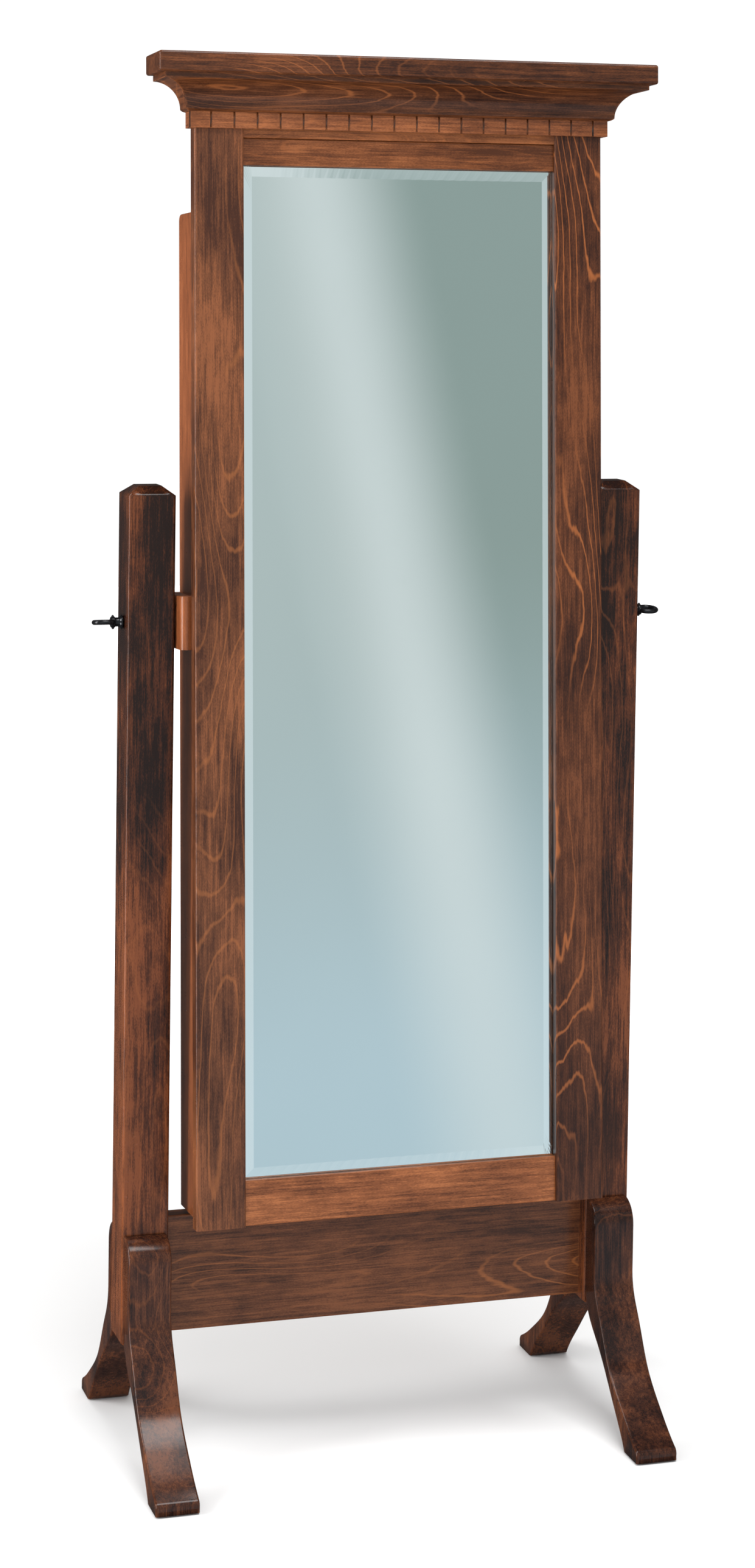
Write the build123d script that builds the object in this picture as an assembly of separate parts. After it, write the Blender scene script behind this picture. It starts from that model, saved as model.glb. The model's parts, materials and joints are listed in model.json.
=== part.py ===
"""Cheval floor mirror: a jewellery cabinet behind a framed mirror door, tilting between posts on sabre legs.

Every piece is its own solid in its own STEP file. Lengths are millimetres and angles degrees.

World frame: origin on the floor under the middle of the stand, +X to the viewer's right, +Y away from
the viewer, +Z up. The tilting cabinet and its door are drawn upright in a head frame, whose origin is
on the tilt axis, and are then leaned back by rest_lean.
"""
import os

from build123d import *

# ---- stand -------------------------------------------------------------------------------------
post_width = 58.0            # along X
post_depth = 58.0            # along Y
post_foot = 139.0            # height of the post's lower end
post_height = 1188.0         # height of the flat on the post's top
post_top_rise = 11.5         # height of the four top chamfers
post_top_run = 15.0          # their width
post_end_chamfer = 5.0
post_clearance = 12.0        # between the door's edge and each post's inner face
wood_ease = 3.0              # rounding of the stand's long arrises

stretcher_height = 144.0
stretcher_thickness = 23.0
stretcher_foot = 147.5       # height of its lower edge
stretcher_ease = 2.0

leg_width = 53.0             # along X
leg_top = 276.0              # height of the leg's rounded head
leg_thickness = 30.0         # along Y, where the leg lies on the post
leg_reach = 212.0            # from the post's middle to the toe
leg_sole = 43.0              # length of the flat sole
leg_straight = 56.0          # straight front face under the leg's rounded head
leg_toe_height = 16.0
leg_toe_setback = 6.0
leg_toe_tip = 6.0            # height of the toe's upright tip
leg_toe_radius = 9.0
leg_seat_drop = 4.0          # how far the leg's back face runs down over the post's foot chamfer
leg_front_bends = ((0.16, 0.33), (0.37, 0.62), (0.67, 0.84))  # shares of the front's run and drop
leg_back_bends = ((0.72, 0.30), (0.34, 0.66))                 # shares of the back's run and rise
leg_ease = 2.5
glide_thickness = 2.0
glide_radius = 14.5

dowel_radius = 5.0
dowel_length = 44.0
dowel_gap = 0.05             # glue room round and behind a dowel
stretcher_dowel_shares = (0.25, 0.75)  # of the stretcher's height
leg_dowel_shares = (0.28, 0.66)        # of the height from the post's foot to the leg's head

# ---- tilt pivot ---------------------------------------------------------------------------------
pivot_height = 1022.0
rest_lean = 3.1              # the head's lean back from upright, as it stands
shank_radius = 5.0
running_gap = 0.1            # radial room round the pivot shank
insert_radius = 7.0
insert_length = 19.0
block_height = 64.0
block_front = 53.5           # from the pivot axis towards the viewer
block_back = 43.0
block_round = 9.0
shank_room = 1.0             # radial room round the shank behind the insert
washer_radius = 20.0
washer_thickness = 1.5
washer_gap = 0.2             # between the washer and the post

flange_radius = 8.8
flange_thickness = 5.0
flange_chamfer = 2.0         # the rim's bevel on the post's side, across the axis
flange_chamfer_length = 1.2  # and along it
flange_rim = 1.2             # width of the rim
flange_rim_fall = 0.4        # how much the rim narrows outwards
neck_radius = 5.6
neck_length = 4.0
neck_lap = 1.0               # how far the neck runs into the flange and the knuckle
knuckle_radius = 7.0
knuckle_length = 6.0
knuckle_round = 2.2
bead_radius = 1.7
ring_outer_radius = 14.5
ring_wire_radius = 3.1
ring_turn = 7.0              # each ring is left turned this far from level
post_clear = 0.3             # between the flange and the post

# ---- door, in the head frame ----------------------------------------------------------------------
door_width = 518.0
door_thickness = 19.0
door_front = -83.0           # Y of the stiles' front faces
door_foot = -722.0           # Z of the lower edge
stile_width = 61.0
rail_recess = 6.0            # the rails' faces lie behind the stiles'
bottom_rail_height = 55.0
mirror_top = 549.0           # Z of the top of the mirror's opening
top_rail_height = 33.0
header_recess = 2.0
tenon_length = 25.0
tenon_shoulder = 5.0
door_ease = 2.5
rail_ease = 1.5

glass_rebate = 8.0           # how far the glass laps behind the frame
glass_lip = 12.0             # from the stiles' faces to the glass
glass_thickness = 4.0
glass_bevel_width = 12.7
glass_bevel_depth = 1.2
glass_room = 0.5
clip_length = 26.0
clip_width = 10.0
clip_thickness = 1.0
clip_round = 3.0
clip_lap = 6.0               # how far a clip reaches over the backing board
clip_rows = 4
clip_screw_radius = 1.35
clip_screw_depth = 8.0
clip_screw_head_radius = 2.8
clip_screw_head_height = 1.0

# ---- crown, in the head frame ---------------------------------------------------------------------
head_top = 678.0             # Z of the cap's upper face
cap_thickness = 24.0
cap_overhang = 55.0          # beyond the stiles' faces
cap_ease = 3.0
crown_reach = 46.0
crown_band = 6.5             # height of the flat band at the crown's top
crown_foot = 13.0            # thickness of its lower edge
crown_toe = 7.0              # how far the rounded lower edge runs back under
crown_toe_rise = 3.0         # height of that rounding
dentil_height = 19.0
dentil_thickness = 6.3
dentil_pitch = 28.58
dentil_first = 25.4          # from the strip's left end to the first groove
groove_width = 2.8
groove_depth = 1.8
return_groove = 13.0         # from the strip's face back to the groove in each side return

# ---- cabinet, in the head frame -------------------------------------------------------------------
cabinet_inset = 11.75        # from the door's edge in to the cabinet's side
cabinet_top = 496.0
cabinet_back = 47.0
door_gap = 1.0               # between the door's back and the cabinet's front edges
board = 13.0                 # thickness of the sides, top and bottom
back_thickness = 6.0
back_lap = 6.5               # how far the back is rebated into the boards
lining_thickness = 2.0
lining_edge = 0.5
cabinet_ease = 2.0
cabinet_corner_round = 9.0

shelf_thickness = 10.0
shelf_front = -50.0
shelf_levels = (-560.0, -400.0, -60.0)
lip_height = 28.0
lip_thickness = 6.0
lip_ease = 1.5

hook_rail_level = 425.0
hook_rail_height = 25.0
hook_rail_depth = 12.0
hook_rail_end = 9.0          # between the rail's end and the cabinet's side
hook_rail_ease = 2.0
hook_count = 9
hook_margin = 33.25          # from the rail's end to the outermost hook
hook_radius = 1.6
hook_reach = 22.0
hook_rise = 10.0
hook_set = 8.0               # how deep a hook is screwed into the rail
hook_ball_radius = 2.4
hook_rose_radius = 4.16
hook_rose_thickness = 1.2

bar_radius = 4.0
bar_level = -120.0
bar_y = -8.0
bar_socket = 6.0

pad_width = 300.0
pad_depth = 70.0
pad_height = 26.0
pad_rolls = 4

# ---- door hardware, in the head frame -------------------------------------------------------------
hinge_levels = (-560.0, -60.0, 430.0)
hinge_height = 60.0
hinge_leaf = 1.5
hinge_leaf_reach = 12.0
hinge_barrel_radius = 2.5
hinge_barrel_gap = 0.35      # between the barrel and the cabinet's side
hinge_pin_radius = 1.25
hinge_pin_gap = 0.05
hinge_swing_gap = 0.5        # room cut round the barrel in the door
leaf_room = 0.15
knuckle_split = 0.3
hinge_screw_radius = 1.6
hinge_screw_head = 3.2       # radius of the countersunk head
hinge_screw_length = 11.0

catch_length = 42.0
catch_width = 11.0
catch_depth = 14.0
catch_setback = 0.6
catch_ease = 1.5
strike_thickness = 0.8
strike_inset = 1.0
strike_end = 4.0             # how much shorter than the catch the strike is at each end
bumper_radius = 4.0
bumper_room = 0.1

block_screw_radius = 2.0
block_screw_head = 4.0
block_screw_length = 24.0
block_screw_rise = 20.0
block_screw_run = 33.0
cut_through = 2.0            # how far a cutting tool passes beyond the face it enters
pick_room = 0.01             # tolerance when an edge is picked by its place

# ---- sizes that follow from those above -----------------------------------------------------------
half_door = door_width / 2
post_inner = half_door + post_clearance
post_outer = post_inner + post_width
post_middle = post_inner + post_width / 2
half_depth = post_depth / 2
stretcher_top = stretcher_foot + stretcher_height

door_back = door_front + door_thickness
stile_inner = half_door - stile_width
rail_front = door_front + rail_recess
glass_front = door_front + glass_lip
glass_back = glass_front + glass_thickness
mirror_foot = door_foot + bottom_rail_height
header_foot = mirror_top + top_rail_height
crown_top = head_top - cap_thickness
cove_radius = crown_reach - crown_foot
crown_toe_radius = (crown_toe ** 2 + crown_toe_rise ** 2) / (2 * crown_toe_rise)
crown_bottom = crown_top - crown_band - cove_radius - crown_toe_rise
dentil_bottom = crown_bottom - dentil_height

half_cabinet = half_door - cabinet_inset
cabinet_inner = half_cabinet - board
cabinet_front = door_back + door_gap
cabinet_foot = door_foot
floor_level = cabinet_foot + board
ceiling_level = cabinet_top - board
back_front = cabinet_back - back_thickness
lining_front = back_front - lining_thickness

block_outer = post_inner - washer_gap - washer_thickness
hinge_x = half_cabinet + hinge_barrel_gap + hinge_barrel_radius
hinge_y = door_back + door_gap / 2

SIDES = (("left", -1), ("right", 1))
HEAD = Pos(0, 0, pivot_height) * Rot(-rest_lean, 0, 0)
X_AXIS = Rot(0, 90, 0)
Y_AXIS = Rot(-90, 0, 0)
nodes = {}


# ---- helpers --------------------------------------------------------------------------------------
def slab(x0, x1, y0, y1, z0, z1):
    """A box between two corners, given in any order."""
    centre = Pos((x0 + x1) / 2, (y0 + y1) / 2, (z0 + z1) / 2)
    return centre * Box(abs(x1 - x0), abs(y1 - y0), abs(z1 - z0))


def rod_x(x0, x1, y, z, radius):
    """A cylinder along X."""
    return Pos((x0 + x1) / 2, y, z) * X_AXIS * Cylinder(radius, abs(x1 - x0))


def rod_y(x, y0, y1, z, radius):
    """A cylinder along Y."""
    return Pos(x, (y0 + y1) / 2, z) * Y_AXIS * Cylinder(radius, abs(y1 - y0))


def rod_z(x, y, z0, z1, radius):
    """A cylinder along Z."""
    return Pos(x, y, (z0 + z1) / 2) * Cylinder(radius, abs(z1 - z0))


def prism_z(points, z0, z1):
    """A polygon in the XY plane carried up from z0 to z1."""
    outline = make_face(Polyline(*points, close=True))
    return extrude(Pos(0, 0, z0) * outline, amount=z1 - z0, dir=(0, 0, 1))


def edges_at(edges, axis, value):
    """Those of the edges that lie wholly at one value along an axis."""
    return edges.filter_by_position(axis, value - pick_room, value + pick_room)


def edges_along(shape, direction, at):
    """The shape's straight edges along a direction that lie at all the (axis, value) places given."""
    found = shape.edges().filter_by(direction)
    for axis, value in at:
        found = edges_at(found, axis, value)
    return found


def keep(name, *solids, head=False):
    """Stores a node's solids, leaned back with the head if they belong to it."""
    placed = [HEAD * solid if head else solid for solid in solids]
    flat = [one for shape in placed for one in shape.solids()]
    nodes[name] = flat[0] if len(flat) == 1 else Compound(flat)


# ---- stand ------------------------------------------------------------------------------------------
def post(side):
    """A square post with eased arrises, a chamfered top and foot, the pivot hole and the dowel holes."""
    middle = Pos(side * post_middle, 0, 0)
    body = middle * slab(-post_width / 2, post_width / 2, -half_depth, half_depth, post_foot, post_height)
    body = fillet(body.edges().filter_by(Axis.Z), wood_ease)
    full = Rectangle(post_width, post_depth)
    top = Rectangle(post_width - 2 * post_top_run, post_depth - 2 * post_top_run)
    foot = Rectangle(post_width - 2 * post_end_chamfer, post_depth - 2 * post_end_chamfer)
    shoulder = post_height - post_top_rise
    waist = post_foot + post_end_chamfer
    envelope = (
        loft([Pos(0, 0, post_foot) * foot, Pos(0, 0, waist) * full])
        + loft([Pos(0, 0, waist) * full, Pos(0, 0, shoulder) * full])
        + loft([Pos(0, 0, shoulder) * full, Pos(0, 0, post_height) * top])
    )
    body = body & middle * envelope
    body -= rod_x(side * (post_inner - cut_through), side * (post_outer + cut_through), 0, pivot_height,
                  shank_radius + running_gap)
    for hole in stretcher_dowels(dowel_gap) + leg_dowels(dowel_gap):
        body -= hole
    return body


def stretcher_dowel_levels():
    """Heights of the two dowels at each end of the stretcher."""
    return [stretcher_foot + stretcher_height * share for share in stretcher_dowel_shares]


def stretcher_dowels(room=0.0):
    """The dowels that join the stretcher to the posts, grown by room to cut their holes."""
    half = dowel_length / 2 + room
    return [
        rod_x(side * post_inner - half, side * post_inner + half, 0, level, dowel_radius + room)
        for _, side in SIDES
        for level in stretcher_dowel_levels()
    ]


def leg_dowel_levels():
    """Heights of the two dowels that hold each leg, between the post's foot and the leg's head."""
    seat = leg_top - post_foot - post_end_chamfer
    return [post_foot + post_end_chamfer + seat * share for share in leg_dowel_shares]


def leg_dowels(room=0.0):
    """The dowels that join the legs to the posts, grown by room to cut their holes."""
    half = dowel_length / 2 + room
    return [
        rod_y(side * post_middle, way * half_depth - half, way * half_depth + half, level,
              dowel_radius + room)
        for _, side in SIDES
        for way in (-1, 1)
        for level in leg_dowel_levels()
    ]


def leg_outline():
    """The side view of a rear leg, drawn in the YZ plane: rounded head, S-curve and flat sole."""
    face = half_depth
    outer = face + leg_thickness
    sole_level = glide_thickness
    heel = leg_reach - leg_sole
    head_foot = leg_top - leg_thickness
    bend_start = head_foot - leg_straight
    run = leg_reach - outer
    drop = bend_start - leg_toe_height - sole_level
    toe = (leg_reach - leg_toe_setback, sole_level + leg_toe_height)
    tip = (leg_reach, sole_level + leg_toe_tip)
    front_bends = [(outer + along * run, bend_start - down * drop) for along, down in leg_front_bends]
    shin = post_foot + post_end_chamfer + leg_seat_drop
    back_run = heel - face
    back_bends = [(face + along * back_run, sole_level + up * shin) for along, up in leg_back_bends]
    head = RadiusArc((face, leg_top), (outer, head_foot), leg_thickness)
    straight = Line((outer, head_foot), (outer, bend_start))
    front = Spline((outer, bend_start), *front_bends, toe, tangents=[(0, -1), (0.9, -0.44)])
    nose = RadiusArc(toe, tip, leg_toe_radius)
    upright = Line(tip, (leg_reach, sole_level))
    sole = Line((leg_reach, sole_level), (heel, sole_level))
    back = Spline((heel, sole_level), *back_bends, (face, sole_level + shin),
                  tangents=[(-0.55, 0.83), (-0.35, 0.94)])
    seat = Line((face, sole_level + shin), (face, leg_top))
    return make_face([head, straight, front, nose, upright, sole, back, seat])


def leg(side, way):
    """A sabre leg; way is 1 for the rear leg and -1 for the front one."""
    body = extrude(Plane.YZ * leg_outline(), amount=leg_width / 2, both=True)
    rims = edges_at(body.edges(), Axis.X, leg_width / 2) + edges_at(body.edges(), Axis.X, -leg_width / 2)
    seat = edges_at(rims, Axis.Y, half_depth)
    ground = edges_at(rims, Axis.Z, glide_thickness)
    body = fillet([edge for edge in rims if edge not in seat and edge not in ground], leg_ease)
    if way < 0:
        body = mirror(body, Plane.XZ)
    body = Pos(side * post_middle, 0, 0) * body
    for hole in leg_dowels(dowel_gap):
        body -= hole
    return body


def glide(side, way):
    """A round felt glide under a foot."""
    y = way * (leg_reach - leg_sole / 2)
    return rod_z(side * post_middle, y, 0, glide_thickness, glide_radius)


def stretcher():
    """The wide board between the posts."""
    half = stretcher_thickness / 2
    body = slab(-post_inner, post_inner, -half, half, stretcher_foot, stretcher_top)
    body = fillet(body.edges().filter_by(Axis.X), stretcher_ease)
    for hole in stretcher_dowels(dowel_gap):
        body -= hole
    return body


# ---- tilt pivot ---------------------------------------------------------------------------------------
def ring_screw(side):
    """A thumb screw with a ring head: shank, flange, neck, beaded knuckle and ring."""
    start = post_outer + post_clear
    neck = start + flange_thickness
    knuckle = neck + neck_length
    ring = knuckle + knuckle_length + ring_outer_radius - 2 * ring_wire_radius
    inner = half_cabinet + cut_through
    shank = rod_x(inner, start + cut_through, 0, 0, shank_radius)
    rim = start + flange_chamfer_length
    cup = make_face(Polyline(
        (start, 0), (start, flange_radius - flange_chamfer), (rim, flange_radius),
        (rim + flange_rim, flange_radius - flange_rim_fall), (neck, neck_radius), (neck, 0), close=True,
    ))
    flange = revolve(cup, Axis.X)
    collar = rod_x(neck - neck_lap, knuckle + neck_lap, 0, 0, neck_radius)
    barrel = rod_x(knuckle, knuckle + knuckle_length, 0, 0, knuckle_radius)
    barrel = fillet(barrel.edges(), knuckle_round)
    body = shank + flange + collar + barrel
    for way in (-1, 1):
        body += Pos(knuckle + knuckle_length / 2, 0, way * knuckle_radius) * Sphere(bead_radius)
    wheel = Torus(ring_outer_radius - ring_wire_radius, ring_wire_radius)
    body += Pos(ring, 0, 0) * wheel
    body = Rot(side * ring_turn, 0, 0) * body
    if side < 0:
        body = mirror(body, Plane.YZ)
    return Pos(0, 0, pivot_height) * body


def pivot_block(side):
    """The block on the cabinet's side that carries the threaded insert."""
    half = block_height / 2
    body = slab(side * half_cabinet, side * block_outer, -block_front, block_back, -half, half)
    outer = edges_along(body, Axis.Z, [(Axis.X, side * block_outer)])
    body = fillet(outer, block_round)
    body -= rod_x(side * (block_outer - insert_length), side * (block_outer + cut_through), 0, 0,
                  insert_radius)
    body -= rod_x(side * half_cabinet, side * block_outer, 0, 0, shank_radius + shank_room)
    for screw in block_screws(side):
        body -= screw
    return body


def threaded_insert(side):
    """The brass bush in a pivot block; its thread is drawn as a plain bore."""
    tube = rod_x(side * (block_outer - insert_length), side * block_outer, 0, 0, insert_radius)
    bore = rod_x(side * half_cabinet, side * post_inner, 0, 0, shank_radius + running_gap)
    return tube - bore


def friction_washer(side):
    """The fibre washer that is squeezed between a pivot block and its post."""
    disc = rod_x(side * block_outer, side * (block_outer + washer_thickness), 0, 0, washer_radius)
    bore = rod_x(side * half_cabinet, side * post_inner, 0, 0, shank_radius + running_gap)
    return disc - bore


def block_screws(side):
    """Four countersunk screws through the cabinet's side into the pivot block."""
    screws = []
    for y in (-block_screw_run, block_screw_run):
        for z in (-block_screw_rise, block_screw_rise):
            shaft = rod_x(side * cabinet_inner, side * (cabinet_inner + block_screw_length), y, z,
                          block_screw_radius)
            head = Pos(side * (cabinet_inner + block_screw_radius / 2), y, z) * Rot(0, side * 90, 0)
            screws.append(shaft + head * Cone(block_screw_head, block_screw_radius, block_screw_radius))
    return screws


# ---- door ---------------------------------------------------------------------------------------------
def glass_pocket():
    """The space cut behind the door frame for the glass and its backing."""
    half = stile_inner + glass_rebate
    return slab(-half, half, glass_front, door_back + cut_through,
                mirror_foot - glass_rebate, mirror_top + glass_rebate)


def rail_levels():
    """Each cross member's name, with its lower edge, upper edge and front face."""
    return {
        "bottom_rail": (door_foot, mirror_foot, rail_front),
        "top_rail": (mirror_top, header_foot, rail_front),
        "header_board": (header_foot, crown_top, door_front + header_recess),
    }


def tenon(side, low, high):
    """The tongue on one end of a cross member, in the layer between the rail's face and the glass."""
    return slab(side * stile_inner, side * (stile_inner + tenon_length), rail_front, glass_front,
                low + tenon_shoulder, high - tenon_shoulder)


def rail(name):
    """A cross member of the door with its two tenons."""
    low, high, front = rail_levels()[name]
    body = slab(-stile_inner, stile_inner, front, door_back, low, high)
    body = fillet(edges_along(body, Axis.X, [(Axis.Y, front)]), rail_ease)
    for _, side in SIDES:
        body += tenon(side, low, high)
    return body - glass_pocket()


def stile(side):
    """An upright of the door, rebated for the glass, mortised for the tenons and let in for the hinges."""
    body = slab(side * stile_inner, side * half_door, door_front, door_back, door_foot, crown_top)
    body = fillet(edges_along(body, Axis.Z, [(Axis.Y, door_front)]), door_ease)
    body -= glass_pocket()
    for low, high, _ in rail_levels().values():
        body -= tenon(side, low, high)
    if side > 0:
        for level in hinge_levels:
            body -= hinge_room(level)
    for screw in clip_screws():
        body -= screw
    return body


def mirror_glass():
    """The silvered plate with a wide bevel all round its front."""
    half = stile_inner + glass_rebate - glass_room
    height = mirror_top - mirror_foot + 2 * (glass_rebate - glass_room)
    middle = (mirror_top + mirror_foot) / 2
    plate = slab(-half, half, glass_front + glass_bevel_depth, glass_back,
                 middle - height / 2, middle + height / 2)
    wide = Rectangle(2 * half, height)
    flat = Rectangle(2 * (half - glass_rebate - glass_bevel_width + glass_room),
                     height - 2 * (glass_rebate + glass_bevel_width - glass_room))
    edge = Plane((0, glass_front + glass_bevel_depth, middle), x_dir=(1, 0, 0), z_dir=(0, -1, 0))
    face = edge.offset(glass_bevel_depth)
    return plate + loft([edge * wide, face * flat])


def mirror_backing():
    """The thin board behind the glass, flush with the back of the door."""
    half = stile_inner + glass_rebate - glass_room
    return slab(-half, half, glass_back, door_back,
                mirror_foot - glass_rebate + glass_room, mirror_top + glass_rebate - glass_room)


def clip_levels():
    """Heights of the retaining clips, evenly spaced up each stile."""
    step = (mirror_top - mirror_foot) / clip_rows
    return [mirror_foot + step * (row + 0.5) for row in range(clip_rows)]


def backing_clips():
    """The steel turn clips that hold the glass and its backing in the door."""
    clips = []
    for _, side in SIDES:
        rebate = side * (stile_inner + glass_rebate)
        for level in clip_levels():
            clip = slab(rebate - side * clip_lap, rebate + side * (clip_length - clip_lap), door_back,
                        door_back + clip_thickness, level - clip_width / 2, level + clip_width / 2)
            clips.append(fillet(clip.edges().filter_by(Axis.Y), clip_round))
    for screw in clip_screws():
        clips = [clip - screw for clip in clips]
    return clips


def clip_screws():
    """One round-headed screw in each clip."""
    screws = []
    top = door_back + clip_thickness
    for _, side in SIDES:
        x = side * (stile_inner + glass_rebate + (clip_length - clip_lap) / 2)
        for level in clip_levels():
            shaft = rod_y(x, door_back - clip_screw_depth, top, level, clip_screw_radius)
            head = rod_y(x, top, top + clip_screw_head_height, level, clip_screw_head_radius)
            screws.append(shaft + head)
    return screws


# ---- crown --------------------------------------------------------------------------------------------
def crown_section():
    """The crown's section, drawn with X as its reach from the door and Y as its height."""
    band_foot = (crown_reach, crown_top - crown_band)
    cove_foot = (crown_foot, crown_bottom + crown_toe_rise)
    toe_end = (crown_foot - crown_toe, crown_bottom)
    band = Line((crown_reach, crown_top), band_foot)
    cove = RadiusArc(band_foot, cove_foot, -cove_radius)
    swell = RadiusArc(cove_foot, toe_end, crown_toe_radius)
    under = Line(toe_end, (0, crown_bottom))
    back = Line((0, crown_bottom), (0, crown_top))
    roof = Line((0, crown_top), (crown_reach, crown_top))
    return make_face([band, cove, swell, under, back, roof])


def mitre_prism(reach, side=0):
    """The plan of a front moulding between its mitres, or of the side return that meets it."""
    out = reach + cut_through
    low, high = dentil_bottom, head_top
    if side == 0:
        plan = [(-half_door, door_front), (-half_door - out, door_front - out),
                (half_door + out, door_front - out), (half_door, door_front)]
    else:
        plan = [(side * half_door, door_front), (side * (half_door + out), door_front - out),
                (side * (half_door + out), door_back), (side * half_door, door_back)]
    return prism_z(plan, low, high)


def crown_front():
    """The crown moulding across the front, mitred at both ends."""
    half = half_door + crown_reach
    section = Plane((-half, door_front, 0), x_dir=(0, -1, 0), z_dir=(-1, 0, 0)) * crown_section()
    return extrude(section, amount=2 * half, dir=(1, 0, 0)) & mitre_prism(crown_reach)


def crown_return(side):
    """The short crown moulding along one side of the door."""
    section = Plane((side * half_door, door_back, 0), x_dir=(side, 0, 0),
                    z_dir=(0, -side, 0)) * crown_section()
    length = door_thickness + crown_reach
    return extrude(section, amount=length, dir=(0, -1, 0)) & mitre_prism(crown_reach, side)


def cap_board():
    """The flat board on top, flush with the door's back, with eased edges."""
    half = half_door + cap_overhang
    body = slab(-half, half, door_front - cap_overhang, door_back, crown_top, head_top)
    return fillet(body.edges(), cap_ease)


def groove_tool(low, high):
    """A vee cutter along Z, with its point inwards along +Y."""
    half = groove_width / 2
    return prism_z([(-half, 0), (half, 0), (0, groove_depth)], low, high)


def dentil_front():
    """The grooved strip under the crown."""
    half = half_door + dentil_thickness
    front = door_front - dentil_thickness
    body = slab(-half, half, front, door_front, dentil_bottom, crown_bottom)
    cutter = groove_tool(dentil_bottom, crown_bottom)
    spaces = int((2 * half - dentil_first - groove_width) // dentil_pitch)
    for index in range(spaces + 1):
        body -= Pos(-half + dentil_first + index * dentil_pitch, front, 0) * cutter
    return body


def dentil_return(side):
    """The strip's short return along one side of the door, with one groove."""
    outer = side * (half_door + dentil_thickness)
    body = slab(side * half_door, outer, door_front, door_back, dentil_bottom, crown_bottom)
    turn = Rot(0, 0, 90 * side)
    y = door_front - dentil_thickness + return_groove
    return body - Pos(outer, y, 0) * turn * groove_tool(dentil_bottom, crown_bottom)


# ---- cabinet ------------------------------------------------------------------------------------------
def back_rebate():
    """The back panel, which is also the rebate cut for it in the four boards."""
    half = cabinet_inner + back_lap
    return slab(-half, half, back_front, cabinet_back, floor_level - back_lap, ceiling_level + back_lap)


def cabinet_side(side):
    """A tall side board, rounded at its top back corner and let in for the back and the hinges."""
    body = slab(side * cabinet_inner, side * half_cabinet, cabinet_front, cabinet_back,
                cabinet_foot, cabinet_top)
    corner = edges_along(body, Axis.X, [(Axis.Y, cabinet_back), (Axis.Z, cabinet_top)])
    body = fillet(corner, cabinet_corner_round)
    body = fillet(edges_along(body, Axis.Z, [(Axis.X, side * half_cabinet)]), cabinet_ease)
    body -= back_rebate()
    if side > 0:
        for level in hinge_levels:
            body -= leaf_plate(level, cabinet_front, 1, leaf_room)
        for screw in hinge_screws(1):
            body -= screw
    for screw in block_screws(side):
        body -= screw
    return body - bracelet_bar()


def cabinet_bottom_board():
    """The bottom board between the sides."""
    body = slab(-cabinet_inner, cabinet_inner, cabinet_front, cabinet_back, cabinet_foot, floor_level)
    return body - back_rebate()


def cabinet_top_board():
    """The top board, following the sides' rounded back corner."""
    body = slab(-cabinet_inner, cabinet_inner, cabinet_front, cabinet_back, ceiling_level, cabinet_top)
    corner = edges_along(body, Axis.X, [(Axis.Y, cabinet_back), (Axis.Z, cabinet_top)])
    return fillet(corner, cabinet_corner_round) - back_rebate()


def back_lining():
    """The felt on the inside of the back panel."""
    half = cabinet_inner - lining_edge
    return slab(-half, half, lining_front, back_front,
                floor_level + lining_edge, ceiling_level - lining_edge)


def shelf(level):
    """A shelf between the sides, from the lining forwards."""
    return slab(-cabinet_inner, cabinet_inner, shelf_front, lining_front, level, level + shelf_thickness)


def shelf_lips():
    """The low strip along the front of each shelf."""
    lips = []
    for level in shelf_levels:
        lip = slab(-cabinet_inner, cabinet_inner, shelf_front - lip_thickness, shelf_front,
                   level, level + lip_height)
        lips.append(fillet(edges_along(lip, Axis.X, [(Axis.Z, level + lip_height)]), lip_ease))
    return lips


def hook_places():
    """The X of each necklace hook."""
    reach = cabinet_inner - hook_rail_end - hook_margin
    return [reach * (2 * index / (hook_count - 1) - 1) for index in range(hook_count)]


def necklace_rail():
    """The wooden rail that the necklace hooks are screwed into."""
    half = cabinet_inner - hook_rail_end
    front = lining_front - hook_rail_depth
    body = slab(-half, half, front, lining_front, hook_rail_level, hook_rail_level + hook_rail_height)
    body = fillet(edges_along(body, Axis.X, [(Axis.Y, front)]), hook_rail_ease)
    for hook in necklace_hooks():
        body -= hook
    return body


def necklace_hooks():
    """Brass hooks: a straight arm with an upturned, ball-ended tip."""
    level = hook_rail_level + hook_rail_height / 2
    root = lining_front - hook_rail_depth
    hooks = []
    for x in hook_places():
        tip = root - hook_reach
        arm = rod_y(x, tip, root + hook_set, level, hook_radius)
        rise = rod_z(x, tip, level, level + hook_rise, hook_radius)
        elbow = Pos(x, tip, level) * Sphere(hook_radius)
        ball = Pos(x, tip, level + hook_rise) * Sphere(hook_ball_radius)
        rose = rod_y(x, root - hook_rose_thickness, root, level, hook_rose_radius)
        hooks.append(arm + rise + elbow + ball + rose)
    return hooks


def bracelet_bar():
    """The brass rod across the cabinet, socketed in both sides."""
    reach = cabinet_inner + bar_socket
    return rod_x(-reach, reach, bar_y, bar_level, bar_radius)


def ring_pad():
    """The rolled velvet pad on the middle shelf."""
    base_level = shelf_levels[1] + shelf_thickness
    middle = (shelf_front + lining_front) / 2
    roll = pad_depth / pad_rolls / 2
    base = slab(-pad_width / 2, pad_width / 2, middle - pad_depth / 2, middle + pad_depth / 2,
                base_level, base_level + pad_height - roll)
    for index in range(pad_rolls):
        y = middle - pad_depth / 2 + roll * (2 * index + 1)
        base += rod_x(-pad_width / 2, pad_width / 2, y, base_level + pad_height - roll, roll)
    return base


# ---- door hardware ------------------------------------------------------------------------------------
def leaf_plate(level, face, way, room=0.0):
    """A hinge leaf's plate, let into a face; way is 1 towards the cabinet's back and -1 to the front."""
    half = hinge_height / 2
    return slab(hinge_x - hinge_barrel_radius - hinge_leaf_reach - room, hinge_x, face,
                face + way * (hinge_leaf + room), level - half - room, level + half + room)


def knuckle(level, low, high):
    """A length of the hinge's barrel, in shares of its height."""
    base = level - hinge_height / 2
    return rod_z(hinge_x, hinge_y, base + low * hinge_height + knuckle_split / 2,
                 base + high * hinge_height - knuckle_split / 2, hinge_barrel_radius)


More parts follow.
